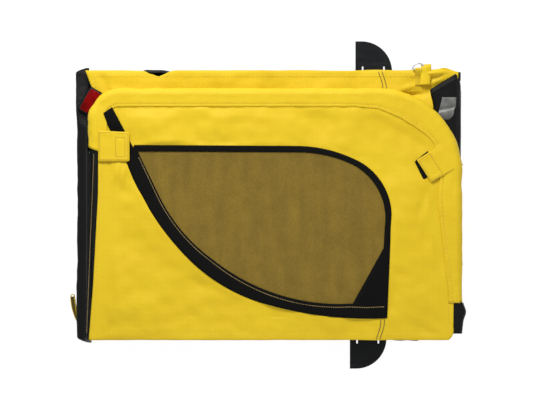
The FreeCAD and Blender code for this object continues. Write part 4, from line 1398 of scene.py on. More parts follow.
    def build_tab(
        self, end: str, seam: Flat, turn: float, long: float, wide: float, patch: tuple[Flat, Flat, Flat]
    ) -> None:
        """A hook and loop tab, sewn on by one edge, and the patch of loop that it closes on.

        Args:
            end: which end of the side it is at.
            seam: the middle of its sewn edge, in the drawing.
            turn: the direction away from its free end, in degrees.
            long: from the sewn edge to the free one.
            wide: along the sewn edge.
            patch: the patch's upper corner at the free edge, and the corners along and below it.
        """
        way = -np.array([math.cos(math.radians(turn)), math.sin(math.radians(turn))])
        across = np.array([-way[1], way[0]])

        def laid(a: float, b: float, above: float = 0.0) -> np.ndarray:
            """A point of the tab, with its taper, hem and bow.

            Args:
                a: how far it is from the seam.
                b: how far it is across.
                above: how far it lies above the cloth's middle.

            Returns:
                The point in the drawing.
            """
            edge = min(long - a, wide / 2 - abs(b))
            b -= 0.1 * max(0.0, b) * a / long
            hem = 0.5 * (1 - ease(8.0, 10.0, edge)) - 0.5 * (1 - ease(0.0, 2.0, edge))
            bow = 0.7 * ripple(a, b, 20.0, 51.0 + long) + 0.5 * (a / long) ** 3
            bow -= 0.9 * (1 - ease(0.0, 9.0, a))
            b += 0.7 * ripple(a, b, 26.0, 52.0 + long)
            spot = np.array(seam) + way * a + across * b
            return np.array([*spot, self.tab_lift + hem + bow + above])

        grid, cut = blank(19, 25)
        for row, a in enumerate(np.linspace(0.0, long, len(grid))):
            rounding = ease(0, 1, max(0.0, (a - long + 2) / 2))
            narrow = 2.0 * (1 - math.sqrt(max(0.0, 1 - rounding ** 2)))
            for column, across_share in enumerate(np.linspace(-1.0, 1.0, len(grid[row]))):
                b = (wide / 2 - narrow) * across_share
                grid[row, column] = laid(a, b)
                cut[row, column] = (a, b)
        piece = cloth(self.named(f"{end}_tab_cloth"), self.hoop.place(grid), cut, thick=1.5)
        node = self.named(f"{end}_tab")
        body = node if self.hoop.side is Side.RIGHT else self.hoop.body
        dress(piece, YELLOW, "yellow_cloth", body, node)
        runs = []
        boxes = [(3.0, long - 3.0, 3.0 - wide / 2, wide / 2 - 3.0)]
        if end == "rear":
            boxes.append((0.56 * long, 0.86 * long, -0.35 * wide, 0.3 * wide))
        for near, far, low, up in boxes:
            corners = np.array([(near, up), (far, up), (far, low), (near, low), (near, up)])
            for run in zip(corners, corners[1:]):
                line = [laid(a, b, 0.9) for a, b in spaced(np.array(run), 3.0)]
                runs.append(self.hoop.place(np.array(line)))
        sewn = stitch_rows(self.named(f"{end}_tab_stitches"), runs, pitch=5.0, long=3.6, wide=1.1)
        # The tab stitches' darker ochre is partly painted shade of their grooves.
        dress(sewn, OCHRE_THREAD_AND_GROOVE_SHADE, "yellow_cloth", body)
        corner, *ends = (np.array(point) for point in patch)
        sides = [end_point - corner for end_point in ends]
        reaches = [float(np.linalg.norm(one)) for one in sides]
        grid, cut = blank(13, 13)
        shares = np.linspace(0.0, 1.0, len(grid))
        for cell, down, along in cells(shares, shares):
            spot = corner + sides[0] * down + sides[1] * along
            grid[cell] = (*spot, self.pile_lift + 0.15 * ripple(*spot, 6.0, 53.0))
            cut[cell] = (reaches[0] * down, reaches[1] * along)
        pile = cloth(self.named(f"{end}_loop_pile"), self.hoop.place(grid), cut, thick=1.0)
        nodes = (self.named("loop_patches"),) if end == "rear" else ()
        dress(pile, PILE, "black_trim", self.hoop.body, *nodes)

    def build_strap(self) -> None:
        """The strap that carries the front tab, from its sewn edge over the hoop's sleeve."""
        turn = math.radians(self.front_turn)
        way = np.array([math.cos(turn), math.sin(turn)])
        across = np.array([way[1], -way[0]])
        half, lift = self.strap_half, self.strap_lift
        rows = np.linspace(-5.0, 41.0, 24)
        columns = np.linspace(-half, half, 23)
        grid, cut = blank(len(rows), len(columns))
        for cell, a, b in cells(rows, columns):
            spot = np.array(self.front_tab) + way * a + across * b * (1 + 0.004 * a)
            outside = min(0.0, self.hoop.inset(*spot))
            edge = 1 - ease(0.0, 2.5, half - b) + 2.6 * (1 - ease(0.0, 11.0, half + b))
            round_off = lift - math.sqrt(max(lift ** 2 - outside ** 2, 4.0))
            wave = 0.4 * ripple(a, b, 16.0, 57.0)
            sunk = 0.5 * edge + 0.8 * ease(2, 5, -a) + 2.2 * ease(20, 40, a)
            grid[cell] = (*spot, lift - round_off + wave - sunk)
            cut[cell] = (a, b)
        piece = cloth(self.named("front_strap_cloth"), self.hoop.place(grid), cut, thick=0.9)
        dress(piece, YELLOW, "yellow_cloth", self.hoop.body)

    def build_label(self) -> None:
        """The small white care label, without any print, that is caught in the lower side's seam."""
        near, off = self.label_turn
        grid, cut = blank(8, 8)
        for cell in np.ndindex(8, 8):
            a, b = 2.0 * cell[0], 1.6 * cell[1]
            x = self.label_spot[0] + near * a + off * b
            v = self.label_spot[1] - off * a + near * b
            grid[cell] = (x, v, self.lie(x, v) + 1.6 + 0.04 * a * a / 4)
            cut[cell] = (a, b)
        piece = cloth(self.named("care_label"), self.hoop.place(grid), cut, thick=0.5)
        dress(piece, LABEL, "grey_tape", self.hoop.body)

    def build(self) -> None:
        """Makes all the pieces of this side."""
        self.build_panel()
        self.build_sleeve()
        self.build_leg_sleeve()
        self.build_trim()
        self.build_mesh()
        self.build_strap()
        if self.hoop.side is Side.LEFT:
            self.build_label()
        rear_patch = ((-276.0, 381.0), (-326.0, 381.0), (-276.0, 330.0))
        self.build_tab("rear", self.rear_tab, 180.0, 61.0, 60.0, rear_patch)
        front_patch = ((285.0, 324.5), (310.5, 345.5), (302.5, 288.5))
        self.build_tab("front", self.front_tab, self.front_turn, 30.0, 54.0, front_patch)


# The tub of cloth on the base


@dataclass
class BaseCloth:
    """The cloth and webbing that are fixed to the base frame."""

    rear_front_x: float = -353.0
    rear_back_x: float = -374.0
    rear_half: float = 269.0
    rear_low: float = 26.4
    rear_high: float = 92.3
    step_down: Flat = (98.0, 172.0)
    skirt_start: float = -316.0
    skirt_end: float = 343.0
    front_half: float = 226.0
    corner_x: float = 374.4
    corner_low: float = 11.0
    foot: Flat = (365.0, 82.0)
    gaiter_radius: float = 14.6
    channel: float = 70.0
    pull_height: Flat = (32.5, 53.0)
    shade_sheet_height: float = 49.5

    def build_rear(self) -> None:
        """The rear cloth, pleated behind the hoops."""
        front, back = self.rear_front_x, self.rear_back_x
        base, top = self.rear_low, self.rear_high
        section = [(front, base), (back + 5, 28.0), (back, 32.5), (back + 4, 36.5), (front - 7, 38.0)]
        section += [(front - 7, 39.5), (back + 3, 41.0), (back - 0.5, 44.5), (back + 3, 48.0)]
        section += [(front - 7, 49.5), (front - 7, 51.0), (back + 4, 52.5), (back - 1, 57.0)]
        section += [(back + 3, 61.5), (front - 8, 65.0), (front - 3.5, 71.0), (front - 2.6, 82.0)]
        section += [(front - 0.8, 90.2), (front + 2.6, 92.0), (front + 7.0, top)]

        def spot(x: float, z: float, y: float, depth: float) -> Spot:
            """A point of the pleats, drawn in and rounded at the ends of the strip.

            Args:
                x: how far back the section is here.
                z: its height.
                y: the place along the strip.
                depth: the length in the fold.

            Returns:
                The point in the frame of the solids.
            """
            end = math.sqrt(ease(0.0, 10.0, self.rear_half - abs(y)))
            down = ease(*self.step_down, y)
            out = (front - x) * (0.2 + 0.8 * end) if x < front else front - x
            out *= 1 + 0.13 * ease(80, 250, y)
            wave = 2.4 * ripple(y, depth * 0.3, 60.0, 61.0) + 0.9 * ripple(y, depth, 20.0, 62.0)
            out += wave * ease(3, 12, front - x)
            roof = top - 31.6 * down - 16.0 * ease(160, 267, y)
            lift = 1.2 * ripple(y, depth * 0.3, 80.0, 63.0) * ease(base, 36.0, z) * (1 - ease(58, 66, z))
            high = min(z, roof - 0.03 * max(0.0, top - z) * down)
            high = base + (high - base) * (0.6 + 0.4 * end)
            return (min(front - out, front + 8.0 * (1 - ease(94, 104, y))), y, high + lift)

        marks = np.linspace(-self.rear_half, self.rear_half, 170)
        piece, depth = folded_cloth("rear_pleats", section, marks, spot)
        dress(piece, BLACK, "black_cloth", None, "rear_cloth")
        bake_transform(piece)
        row = np.array([(0.0, y, 93.0) for y in np.linspace(-250.0, 100.0, 60)])
        row[:, 0] = -340.5 - 0.04 * (103.0 - row[:, 1])
        row[:, 2] -= [1.6 * ease(349.0, 355.5, -x) for x in row[:, 0]]
        sewn = stitch_rows("rear_seam_stitches", [row], pitch=4.4, long=4.0, wide=1.3)
        dress(sewn, TAN_THREAD, "black_cloth", "right_side")

    def build_skirt(self, side: Side) -> None:
        """The cloth that closes the gap between a rail and its side's hem.

        Args:
            side: which side.
        """
        sign = -1 if side is Side.RIGHT else 1
        top = 88.0 if side is Side.RIGHT else 56.0
        middle = (28.0 + top) / 2
        section = [(240.0, 26.2), (252.0, 26.6), (259.0, 31.0), (261.0, middle)]
        section += [(258.5, top - 8), (255.0, top)]

        def spot(y: float, z: float, x: float, depth: float) -> Spot:
            """A point of the skirt, which hangs in shallow folds.

            Args:
                y: how far out the section is here.
                z: its height.
                x: the place along the side.
                depth: the length in the fold.

            Returns:
                The point in the frame of the solids.
            """
            loose = ease(0, 14, depth)
            wave = 1.9 * ripple(x, z * 0.3, 34.0, 71.0) + 0.8 * ripple(x, z * 0.5, 14.0, 72.0)
            if side is Side.LEFT:
                wave += (6.0 * bump(x, -214.0, 21.0) + 3.0 * bump(x, -240.0, 9.0)) * ease(30, 46, z)
            else:
                wave += (5.5 * bump(x, 258.0, 24.0) + 4.5 * bump(x, 290.0, 12.0)) * ease(30, 60, z)
            return (x, sign * (y + loose * (wave - 0.8)), z)

        marks = np.linspace(self.skirt_start, self.skirt_end, 140)
        name = f"{side.value}_skirt_cloth"
        piece, depth = folded_cloth(name, section, marks, spot, step=3.5)
        dress(piece, BLACK, "black_cloth", None, f"{side.value}_skirt")
        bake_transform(piece)

    def build_front(self) -> None:
        """The low front edge of the tub: a rolled cloth along the floor's front."""
        section = [(364.4, 25.9), (369.0, 26.4), (369.3, 30.0), (367.0, 32.4), (364.4, 31.0), (364.3, 27.4)]

        def spot(x: float, z: float, y: float, depth: float) -> Spot:
            """A point of the roll, a little uneven along the front."""
            return (x, y, z + 0.5 * ripple(y, depth, 40.0, 81.0) * ease(26.5, 29.0, z))

        marks = np.linspace(-self.front_half, self.front_half, 90)
        piece, depth = folded_cloth("front_roll", section, marks, spot, thick=0.8, step=1.6)
        dress(piece, BLACK, "black_cloth", "base", "front_apron")

    def build_corner(self) -> None:
        """The fold of black cloth that stands out at the right front corner."""
        outline = drawn((self.corner_x, -249.0), (386.5, -206.0), (375.5, -188.5), step=2.5)
        along = lengths(outline)
        levels = [(z, 0.0) for z in np.linspace(self.corner_low, 52.0, 18)]
        levels += [(53.5, 0.04), (54.4, 0.12), (54.8, 0.3), (54.9, 0.6), (54.9, 0.98)]
        grid, cut = blank(len(levels), len(outline))
        for cell, (z, closing), (x, y) in cells(levels, outline):
            share = (z - self.corner_low) / 44.0
            bulge = 1.3 * ripple(y, z, 22.0, 91.0) * ease(0, 6, x - 374.0)
            taper = 0.45 + 0.55 * math.sin(math.pi / 2 * min(1.0, 0.15 + share))
            far = ((x - self.corner_x) * taper + bulge) * (1 - closing)
            grid[cell] = (self.corner_x + max(0.0, far), y, z)
            cut[cell] = (along[cell[1]], z + 12 * closing)
        piece = cloth("corner_fold_cloth", grid, cut, thick=1.0)
        dress(piece, BLACK, "black_cloth", "base", "front_corner_fold")
        edge = np.column_stack([outline[1:-1] - np.array([1.5, 0.0]), np.full(len(outline) - 2, 55.6)])
        sewn = stitch_rows("corner_fold_stitches", [edge], pitch=4.0, long=3.0, wide=1.0)
        dress(sewn, TAN_THREAD, "black_cloth", "base")

    def build_gaiter(self) -> None:
        """The black cloth over the foot of the upper side's front leg, below the sleeve's end."""
        turns = np.radians(np.linspace(150.0, -40.0, 30))
        marks = np.linspace(-191.0, -251.0, 24)
        grid, cut = blank(len(turns), len(marks))
        for cell, turn, y in cells(turns, marks):
            down = ease(225.0, 252.0, -y)
            radius = self.gaiter_radius - 1.2 * down + 0.5 * ripple(y, turn * 12, 16.0, 97.0)
            beak = 6.0 * bump(y, -209.0, 13.0)
            x = self.foot[0] + (radius + beak) * math.cos(turn)
            roof = 92.6 - 2.4 * (1 - ease(359.0, 364.0, x))
            high = min(self.foot[1] + radius * math.sin(turn), roof)
            grid[cell] = (max(x, 356.0), y, high)
            cut[cell] = (-y, 14.0 * turn)
        piece = cloth("front_leg_gaiter", grid, cut, thick=0.8)
        dress(piece, BLACK, "black_cloth", "right_side")

    def build_mat(self) -> None:
        """The quilted mat on the floor, with sewn channels across it."""
        low, high = (np.array(corner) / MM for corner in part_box("floor_mat"))
        columns = np.linspace(low[0] + 1, high[0] - 1, 150)
        rows = np.linspace(low[1] + 1, high[1] - 1, 100)
        middle = low[2] + 2.0
        faces = np.zeros((2, len(rows), len(columns), 3))
        for cell, y, x in cells(rows, columns):
            edge = min(x - low[0], high[0] - x, y - low[1], high[1] - y)
            quilt = abs(math.sin(math.pi * x / self.channel)) ** 0.4
            swell = 1.9 * math.sqrt(ease(0, 9, edge)) * (0.35 + 0.65 * quilt)
            faces[0][cell] = (x, y, middle + swell)
            faces[1][cell] = (x, y, middle - 1.8 * ease(0, 4, edge))
        ring = np.concatenate([faces[0], faces[1][::-1]])
        piece = cloth("quilted_mat", ring, ring[..., :2], thick=0.0)
        dress(piece, BLACK, "black_cloth", "base", "floor_mat")

    def build_pull(self) -> None:
        """The yellow webbing pull standing out of the rear cloth, with painted shade in its loop."""
        outside = drawn(
            (-376.2, -227.0), ((-384.8, -205.0), (-388.2, -180.0)), ((-385.0, -175.4), (-381.2, -179.0)),
            ((-378.4, -200.0), (-376.3, -219.0)), step=1.5,
        )
        along = lengths(outside)
        levels = np.linspace(*self.pull_height, 11)
        grid, cut = blank(len(levels), len(outside))
        for cell, z, (x, y) in cells(levels, outside):
            grid[cell] = (x + 0.3 * ripple(y, z, 18.0, 95.0), y, z)
            cut[cell] = (along[cell[1]], z)
        piece = cloth("pull_webbing", grid, cut, thick=1.3)
        dress(piece, WEBBING, "yellow_webbing", "base", "rear_pull_loop")
        # A dark olive sheet across the loop, painted shade in place of the loop's shaded inside.
        ways = [drawn((-376.4, -225.0), ((-384.2, -205.0), (-387.4, -180.0)), step=1.5)]
        ways.append(drawn((-376.4, -219.5), ((-378.8, -200.0), (-381.8, -179.5)), step=1.5))
        count = min(len(way) for way in ways)
        walls = [spaced(way, lengths(way)[-1] / (count - 1)) for way in ways]
        grid = np.zeros((6, count, 3))
        for row, share in enumerate(np.linspace(0.0, 1.0, len(grid))):
            grid[row, :, :2] = walls[0] * (1 - share) + walls[1] * share
            grid[row, :, 2] = self.shade_sheet_height - 2.0 * math.sin(math.pi * share)
        shade_sheet = cloth("pull_shade_sheet", grid, grid[..., :2], thick=0.8)
        dress(shade_sheet, LOOP_SHADE_OLIVE, "yellow_webbing", "base")

    def build(self) -> None:
        """Makes all the cloth on the base."""
        self.build_rear()
        self.build_skirt(Side.RIGHT)
        self.build_skirt(Side.LEFT)
        self.build_front()
        self.build_corner()
        self.build_gaiter()
        self.build_mat()
        self.build_pull()


# What lies folded on the lower side


@dataclass
class FoldedTop:
    """The roof cloth, the front cloth, the reflectors and the ring's strap on the lower side."""

    roof_low_x: float = -244.0
    roof_high_x: float = 271.0
    roof_half: float = 193.0
    corner: Flat = (373.0, 260.5)
    front_wide: float = 57.0
    front_long: float = 184.0
    front_rows: int = 60
    leg: Flat = (365.0, 48.0)
    leg_radius: float = 11.9
    tape_centre: Flat = (351.0, 191.0)
    tape_rows: int = 26
    bar: Spot = (294.0, 266.0, 64.4)
    webbing_half: float = 6.8
    flap_spot: Spot = (309.0, 275.5, 63.6)
    flap_turn: float = 3.0
    flap_half: float = 9.8
    flap_long: float = 40.0
    reflector_spot: Spot = (-349.0, 203.0, 61.3)
    reflector_turn: float = -30.0
    reflector_size: Spot = (30.0, 52.0, 5.5)

    def build_roof(self) -> None:
        """The roof cloth, folded to and fro in three layers."""
        half = self.roof_half
        section = [(6 - half, 62.1), (0, 62.0), (half - 9, 62.1), (half, 63.2), (half - 9, 64.2)]
        section += [(0, 64.1), (9 - half, 64.2), (-half, 65.3), (9 - half, 66.4), (0, 66.3)]
        section += [(half - 4, 66.5)]

        def spot(y: float, z: float, x: float, _depth: float) -> Spot:
            """A point of the layers, with rounded corners and slack on the uppermost one.

            Args:
                y: how far across the section is here.
                z: its height.
                x: the place along the roof.
                _depth: the length in the fold, which changes nothing here.

            Returns:
                The point in the frame of the solids.
            """
            end = min(x - self.roof_low_x, self.roof_high_x - x)
            round_off = 22.0 * (1 - math.sqrt(ease(0, 22, end)))
            slack = 1.7 * ripple(x, y, 60.0, 101.0) + 0.8 * ripple(x, y, 22.0, 102.0)
            slack *= ease(65.4, 66.2, z) * ease(0, 20, half - abs(y))
            return (x, y * (half - round_off) / half, z + slack * ease(0, 20, end))

        marks = np.linspace(self.roof_low_x, self.roof_high_x, 110)
        piece, depth = folded_cloth("roof_layers", section, marks, spot, thick=0.8, step=5.5)
        dress(piece, YELLOW, "yellow_cloth", "left_side", "roof_cloth")

    def front_edge(self, x: float) -> float:
        """How far up the front cloth goes, at a place along its slanted edge."""
        return self.corner[1] - 0.6 * (self.corner[0] - x)

    def front_lie(self, x: float, y: float) -> float:
        """The height of the front cloth.

        Args:
            x: the place along the trailer.
            y: the place across it.

        Returns:
            The height of the cloth's middle.
        """
        edge = min(x - self.corner[0] + self.front_wide, self.front_edge(x) - y)
        drop = 3.0 * (1 - ease(0.0, 6.0, edge)) + 0.07 * max(0.0, x - 361.0) ** 2
        return 65.3 - drop + 0.5 * ripple(x, y, 28.0, 111.0)

    def build_front(self) -> None:
        """The black front cloth, folded over the lower hoop's front leg, with its light seam."""
        columns = np.linspace(self.corner[0] - self.front_wide, self.corner[0] - 2.0, 26)
        turns = np.radians(np.linspace(50.0, -42.0, 12))
        low = self.corner[1] - self.front_long
        grid, cut = blank(self.front_rows, len(columns) + len(turns))
        for row, share in enumerate(np.linspace(0.0, 1.0, self.front_rows)):
            for column, flat_x in enumerate(columns):
                y = low + (self.front_edge(flat_x) - low) * share
                x = flat_x + 7.0 * bump(y, 190.0, 24.0) * (1 - column / (len(columns) - 1))
                grid[row, column] = (x, y, self.front_lie(flat_x, y))
                cut[row, column] = (x, y)
            for step, turn in enumerate(turns):
                column = len(columns) + step
                y = low + (self.corner[1] - low) * share
                radius = self.leg_radius + 0.5 * ripple(y, step * 3.0, 30.0, 112.0)
                x, z = self.leg[0] + radius * math.cos(turn), self.leg[1] + radius * math.sin(turn)
                grid[row, column] = (x, y, z)
                cut[row, column] = (self.corner[0] + 2.1 * (step + 1), y)
        piece = cloth("front_fold_cloth", grid, cut, thick=1.3)
        dress(piece, BLACK, "black_cloth", "left_side", "front_cloth")
        seam = np.array([(x, self.front_edge(x) - 8, 0.0) for x in columns[2:-1]])
        seam[:, 2] = [self.front_lie(x, y) + 0.9 for x, y, _ in seam]
        sewn = stitch_rows("front_fold_stitches", [seam], pitch=5.0, long=3.8, wide=1.2)
        dress(sewn, BLACK_THREAD, "black_cloth", "left_side")

    def tape_lie(self, x: float, y: float) -> float:
        """The height of the grey patch, whose lower band stands up along the seam.

        Args:
            x: the place along the trailer.
            y: the place across it.

        Returns:
            The height of the patch's middle.
        """
        slope, start = TAPE.seam
        below = start + slope * x - y
        fold = 1.5 * ease(-1.5, 3.0, below) - 1.5 * ease(4.0, 21.0, below)
        groove = 0.8 * bump(below, -4.0, 3.0)
        return max(66.5, self.front_lie(x, y) + 1.2) + 0.4 + fold - groove

    def build_tape(self) -> None:
        """The grey reflective patch, sewn across its middle into two bands."""
        edge = drawn(
            (367.6, 210.8), (366.8, 193.5), (363.2, 185.0), ((360.2, 173.6), (351.0, 166.8)),
            (334.5, 166.8), (330.8, 172.5), (340.3, 210.8), (367.6, 210.8), step=1.5,
        )[:-1]
        turns, far = spokes(edge, self.tape_centre)
        grid = np.zeros((self.tape_rows, len(edge), 3))
        for row, share in enumerate(np.linspace(0.004, 1.0, self.tape_rows)):
            x, y = fanned(self.tape_centre, turns, far * share)
            high = np.array([self.tape_lie(a, b) for a, b in zip(x, y)])
            grid[row] = np.stack([x, y, high - 0.4 * ease(0.9, 1.0, share)], axis=1)
        piece = cloth("tape_patch", grid, grid[..., :2], closed=True, thick=0.7)
        dress(piece, TAPE, "grey_tape", "left_side", "grey_reflector")
        slope, start = TAPE.seam
        row = np.array([(x, start + slope * x - 0.5, 0.0) for x in np.linspace(335.0, 362.5, 12)])
        row[:, 2] = [self.tape_lie(x, y) + 0.35 for x, y, _ in row]
        sewn = stitch_rows("tape_stitches", [row], pitch=3.2, long=3.0, wide=1.6)
        dress(sewn, PALE_THREAD, "grey_tape", "left_side")

    def build_strap(self) -> None:
        """The webbing that holds the ring, folded round its bar and sewn down on a flap."""
        x, y, z = self.bar
        section = [(y - 33, z - 6.5), (y - 20, z - 6.2), (y - 12, z - 4.6), (y - 4, z - 2.6)]
        section += [(y, z - 2.5), (y + 2.5, z), (y, z + 2.5), (y - 4, z + 1.6), (y - 9, z - 0.8)]
        section += [(y - 14, z - 3.6), (y - 20, z - 5.0), (y - 31, z - 5.4)]

        def spot(a: float, b: float, mark: float, _depth: float) -> Spot:
            """A point of the strap."""
            return (mark, a, b)

        marks = np.linspace(x - self.webbing_half, x + self.webbing_half, 9)
        piece, depth = folded_cloth("ring_webbing", section, marks, spot, thick=0.9, step=1.2)
        dress(piece, WEBBING, "yellow_webbing", "left_side", "ring_strap")

    def build_flap(self) -> None:
        """The flap of yellow cloth that is folded over the strap's end and sewn to the hem."""
        columns = np.linspace(-self.flap_half, self.flap_half, 15)
        rows = np.linspace(0.0, self.flap_long, 22)
        lean = math.radians(self.flap_turn)
        grid, cut = blank(len(rows), len(columns))
        for cell, down, across in cells(rows, columns):
            x = self.flap_spot[0] + across * math.cos(lean) - down * math.sin(lean)
            y = self.flap_spot[1] + across * math.sin(lean) - down * math.cos(lean)
            arch = 2.6 * (1 - (across / self.flap_half) ** 2) + ripple(across, down, 12.0, 121.0)
            high = self.flap_spot[2] + arch - 5.0 * (1 - ease(0.0, 7.0, down)) ** 2
            grid[cell] = (x, y, high)
            cut[cell] = (across, down)
        piece = cloth("ring_flap", grid, cut, thick=1.2)
        dress(piece, YELLOW, "yellow_cloth", "left_side")

    def build_reflector(self) -> None:
        """The red reflector: a bevelled black frame and a lens set into it."""
        wide, long, high = self.reflector_size
        frame_piece = self.plate("reflector_frame", (wide, long, high * 0.8), 0.0)
        bpy.ops.object.mode_set(mode="EDIT")
        bpy.ops.mesh.select_all(action="DESELECT")
        bpy.ops.object.mode_set(mode="OBJECT")
        for face in frame_piece.data.polygons:
            face.select = face.normal.z > 0.9
        bpy.ops.object.mode_set(mode="EDIT")
        bpy.ops.mesh.inset(thickness=3.0 * MM, depth=0)
        bpy.ops.mesh.extrude_region_move(TRANSFORM_OT_translate={"value": (0, 0, -1.6 * MM)})
        bpy.ops.object.mode_set(mode="OBJECT")
        self.seat(frame_piece)
        dress(frame_piece, NYLON, "black_moulding", "left_side", "red_reflector")
        lens = self.plate("reflector_lens", (wide - 6.4, long - 6.4, high - 2.9), 2.9)
        self.seat(lens)
        dress(lens, LENS, "red_lens", "left_side")

    def plate(self, name: str, size: Spot, low: float) -> Piece:
        """A plate with rounded corners and a soft upper edge, at the origin.

        Args:
            name: the piece's name.
            size: its length along each axis.
            low: the height of its underside.

        Returns:
            The new object.
        """
        bpy.ops.object.select_all(action="DESELECT")
        bpy.ops.mesh.primitive_cube_add(size=1.0)
        piece = bpy.context.active_object
        piece.name = name
        piece.data.name = name
        bpy.ops.object.mode_set(mode="EDIT")
        bpy.ops.transform.resize(value=tuple(part * MM for part in size))
        bpy.ops.transform.translate(value=(0, 0, (low + size[2] / 2) * MM))
        bpy.ops.mesh.select_all(action="DESELECT")
        bpy.ops.object.mode_set(mode="OBJECT")
        points = piece.data.vertices
        for edge in piece.data.edges:
            one, two = (points[number].co for number in edge.vertices)
            edge.select = abs(one.z - two.z) > 0.5 * size[2] * MM
        bpy.ops.object.mode_set(mode="EDIT")
        bpy.ops.mesh.select_mode(type="EDGE")
        bpy.ops.mesh.bevel(offset=4.5 * MM, segments=5)
        bpy.ops.mesh.select_all(action="DESELECT")
        bpy.ops.object.mode_set(mode="OBJECT")
        top = (low + size[2]) * MM
        for edge in piece.data.edges:
            edge.select = all(points[number].co.z > top - 1e-6 for number in edge.vertices)
        bpy.ops.object.mode_set(mode="EDIT")
        bpy.ops.mesh.bevel(offset=1.1 * MM, segments=3)
        bpy.ops.mesh.select_mode(type="FACE")
        bpy.ops.object.mode_set(mode="OBJECT")
        return piece

    def seat(self, piece: Piece) -> None:
        """Turns a plate to the reflector's place and applies it to the mesh.

        Args:
            piece: the plate.
        """
        pick(piece)
        piece.rotation_euler = (0, 0, math.radians(self.reflector_turn))
        piece.location = tuple(part * MM for part in self.reflector_spot)
        bpy.ops.object.transform_apply(location=True, rotation=True, scale=True)
        settle(piece, 35.0)

    def build(self) -> None:
        """Makes all that lies on the lower side."""
        self.build_roof()
        self.build_front()
        self.build_tape()
        self.build_strap()
        self.build_flap()
        self.build_reflector()


# Solids that keep their shape


@dataclass
class Ironwork:
    """The frame, pivots, hoops and plates, which keep their solids and get their finishes."""

    both: tuple[str, ...] = ("right", "left")

    def finishes(self) -> dict[str, Finish]:
        """The finish of each solid."""
        made: dict[str, Finish] = {
            "rear_crossbar": POWDER, "axle_crossbar": POWDER, "front_crossbar": POWDER,
            "drawbar_receiver": POWDER, "rail_end_caps": NYLON, "axle_sleeves": ZINC,
            "deflector_screws": ZINC, "lashing_ring": ZINC, "floor_board": PLY,
        }
        for side in self.both:
            made[f"{side}_rail"] = POWDER
            made[f"{side}_pivot_brackets"] = POWDER
            made[f"{side}_pivot_pins"] = ZINC
            made[f"{side}_leg_feet"] = NYLON
            made[f"{side}_hoop"] = ANODISED
            made[f"{side}_deflector"] = PLATE
        return made

    def build(self) -> None:
        """Puts the finishes on the solids."""
        for name, finish in self.finishes().items():
            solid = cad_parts[name]
            solid.data.materials.clear()
            solid.data.materials.append(material(finish))
            LOG.info("%s: %s", name, finish.name)


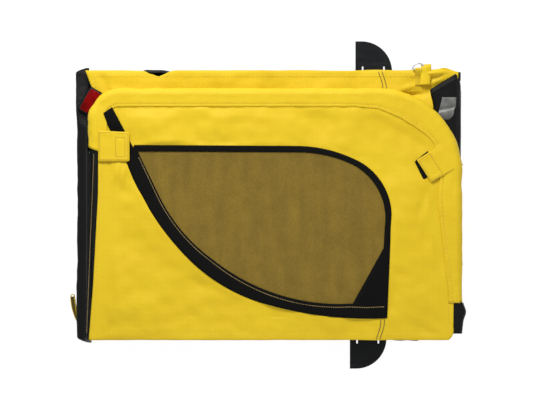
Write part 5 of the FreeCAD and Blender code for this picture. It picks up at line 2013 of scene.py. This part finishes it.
@dataclass
class Studio:
    """A white floor, an even sky, two soft lamps and the photograph's camera above."""

    camera_high: float = 7.095
    seen_across: float = 1.047
    seen_high: float = 0.095
    sensor: float = 36.0
    sky: float = 0.42
    lamp: float = 56.0
    lamp_spot: Spot = (-0.45, 1.9, 1.7)
    fill: float = 24.0
    fill_spot: Spot = (1.4, -2.6, 0.6)
    lamp_size: float = 1.0
    floor_size: float = 40.0
    floor_glow: float = 0.96

    def build_camera(self) -> None:
        """The camera, straight above, its upper edge towards +Y."""
        data = bpy.data.cameras.new("camera")
        data.sensor_width = self.sensor
        data.lens = self.sensor * (self.camera_high - self.seen_high) / self.seen_across
        data.clip_end = 60.0
        camera = bpy.data.objects.new("camera", data)
        camera.location = (0.0, 0.0, self.camera_high)
        bpy.context.scene.collection.objects.link(camera)
        bpy.context.scene.camera = camera

    def seen(self, tree: Tree) -> Socket:
        """Tells what the camera sees, itself or in gloss and glass, from other light.

        Args:
            tree: the node tree of a material or of the sky.

        Returns:
            1 for what the camera sees and 0 for other light.
        """
        rays = add_node(tree, "LightPath").outputs
        any_ray = rays["Is Camera Ray"]
        for kind in ("Is Glossy Ray", "Is Transmission Ray"):
            either = add_node(tree, "Math", {0: any_ray, 1: rays[kind]}, operation="MAXIMUM")
            any_ray = either.outputs[0]
        return any_ray

    def build_floor(self) -> None:
        """The floor: white to the camera, with a little of the shadow left on it."""
        bpy.ops.object.select_all(action="DESELECT")
        bpy.ops.mesh.primitive_plane_add(size=self.floor_size, location=(0, 0, -0.0005))
        floor = bpy.context.active_object
        floor.name = "floor"
        paper = bpy.data.materials.new("white_paper_floor")
        paper.use_nodes = True
        tree = paper.node_tree
        tree.nodes.clear()
        plain = add_node(tree, "BsdfDiffuse", {"Color": linear("#D8D8D8")})
        shaded = add_node(tree, "BsdfDiffuse", {"Color": linear("#5C5C5C")})
        glow = add_node(tree, "Emission", {"Color": linear("#FFFFFF"), "Strength": self.floor_glow})
        white = add_node(tree, "AddShader", {0: shaded, 1: glow})
        mix = add_node(tree, "MixShader", {0: self.seen(tree), 1: plain, 2: white})
        add_node(tree, "OutputMaterial", {"Surface": mix})
        floor.data.materials.append(paper)

    def build_light(self) -> None:
        """An even sky, white to the camera, a large lamp on the left side and a weak one opposite."""
        world = bpy.data.worlds.new("sky")
        bpy.context.scene.world = world
        world.use_nodes = True
        tree = world.node_tree
        tree.nodes.clear()
        level = add_node(tree, "MapRange", {0: self.seen(tree), 1: 0.0, 2: 1.0, 3: self.sky, 4: 1.0})
        back = add_node(tree, "Background", {"Color": linear("#FFFFFF"), "Strength": level})
        add_node(tree, "OutputWorld", {"Surface": back})
        self.hang("soft_lamp", self.lamp, self.lamp_spot)
        self.hang("fill_lamp", self.fill, self.fill_spot)

    def hang(self, name: str, energy: float, place: Spot) -> None:
        """Hangs a soft square lamp that shines at the part.

        Args:
            name: the lamp's name.
            energy: its power in watts.
            place: where it hangs, in metres.
        """
        data = bpy.data.lights.new(name, "AREA")
        data.shape = "SQUARE"
        data.size = self.lamp_size
        data.energy = energy
        lamp = bpy.data.objects.new(name, data)
        lamp.location = place
        lamp.rotation_euler = (-Vector(place)).to_track_quat("-Z", "Y").to_euler()
        bpy.context.scene.collection.objects.link(lamp)

    def build(self) -> None:
        """Sets the stage and the view."""
        bpy.context.scene.view_settings.view_transform = "Standard"
        self.build_camera()
        self.build_floor()
        self.build_light()


def main() -> None:
    """Builds the sub-assemblies in order."""
    logging.basicConfig(level=logging.INFO, format="%(message)s")
    Studio().build()
    Ironwork().build()
    BaseCloth().build()
    SideCover(Hoop(Side.LEFT)).build()
    FoldedTop().build()
    SideCover(Hoop(Side.RIGHT)).build()


if __name__ == "__main__":
    main()
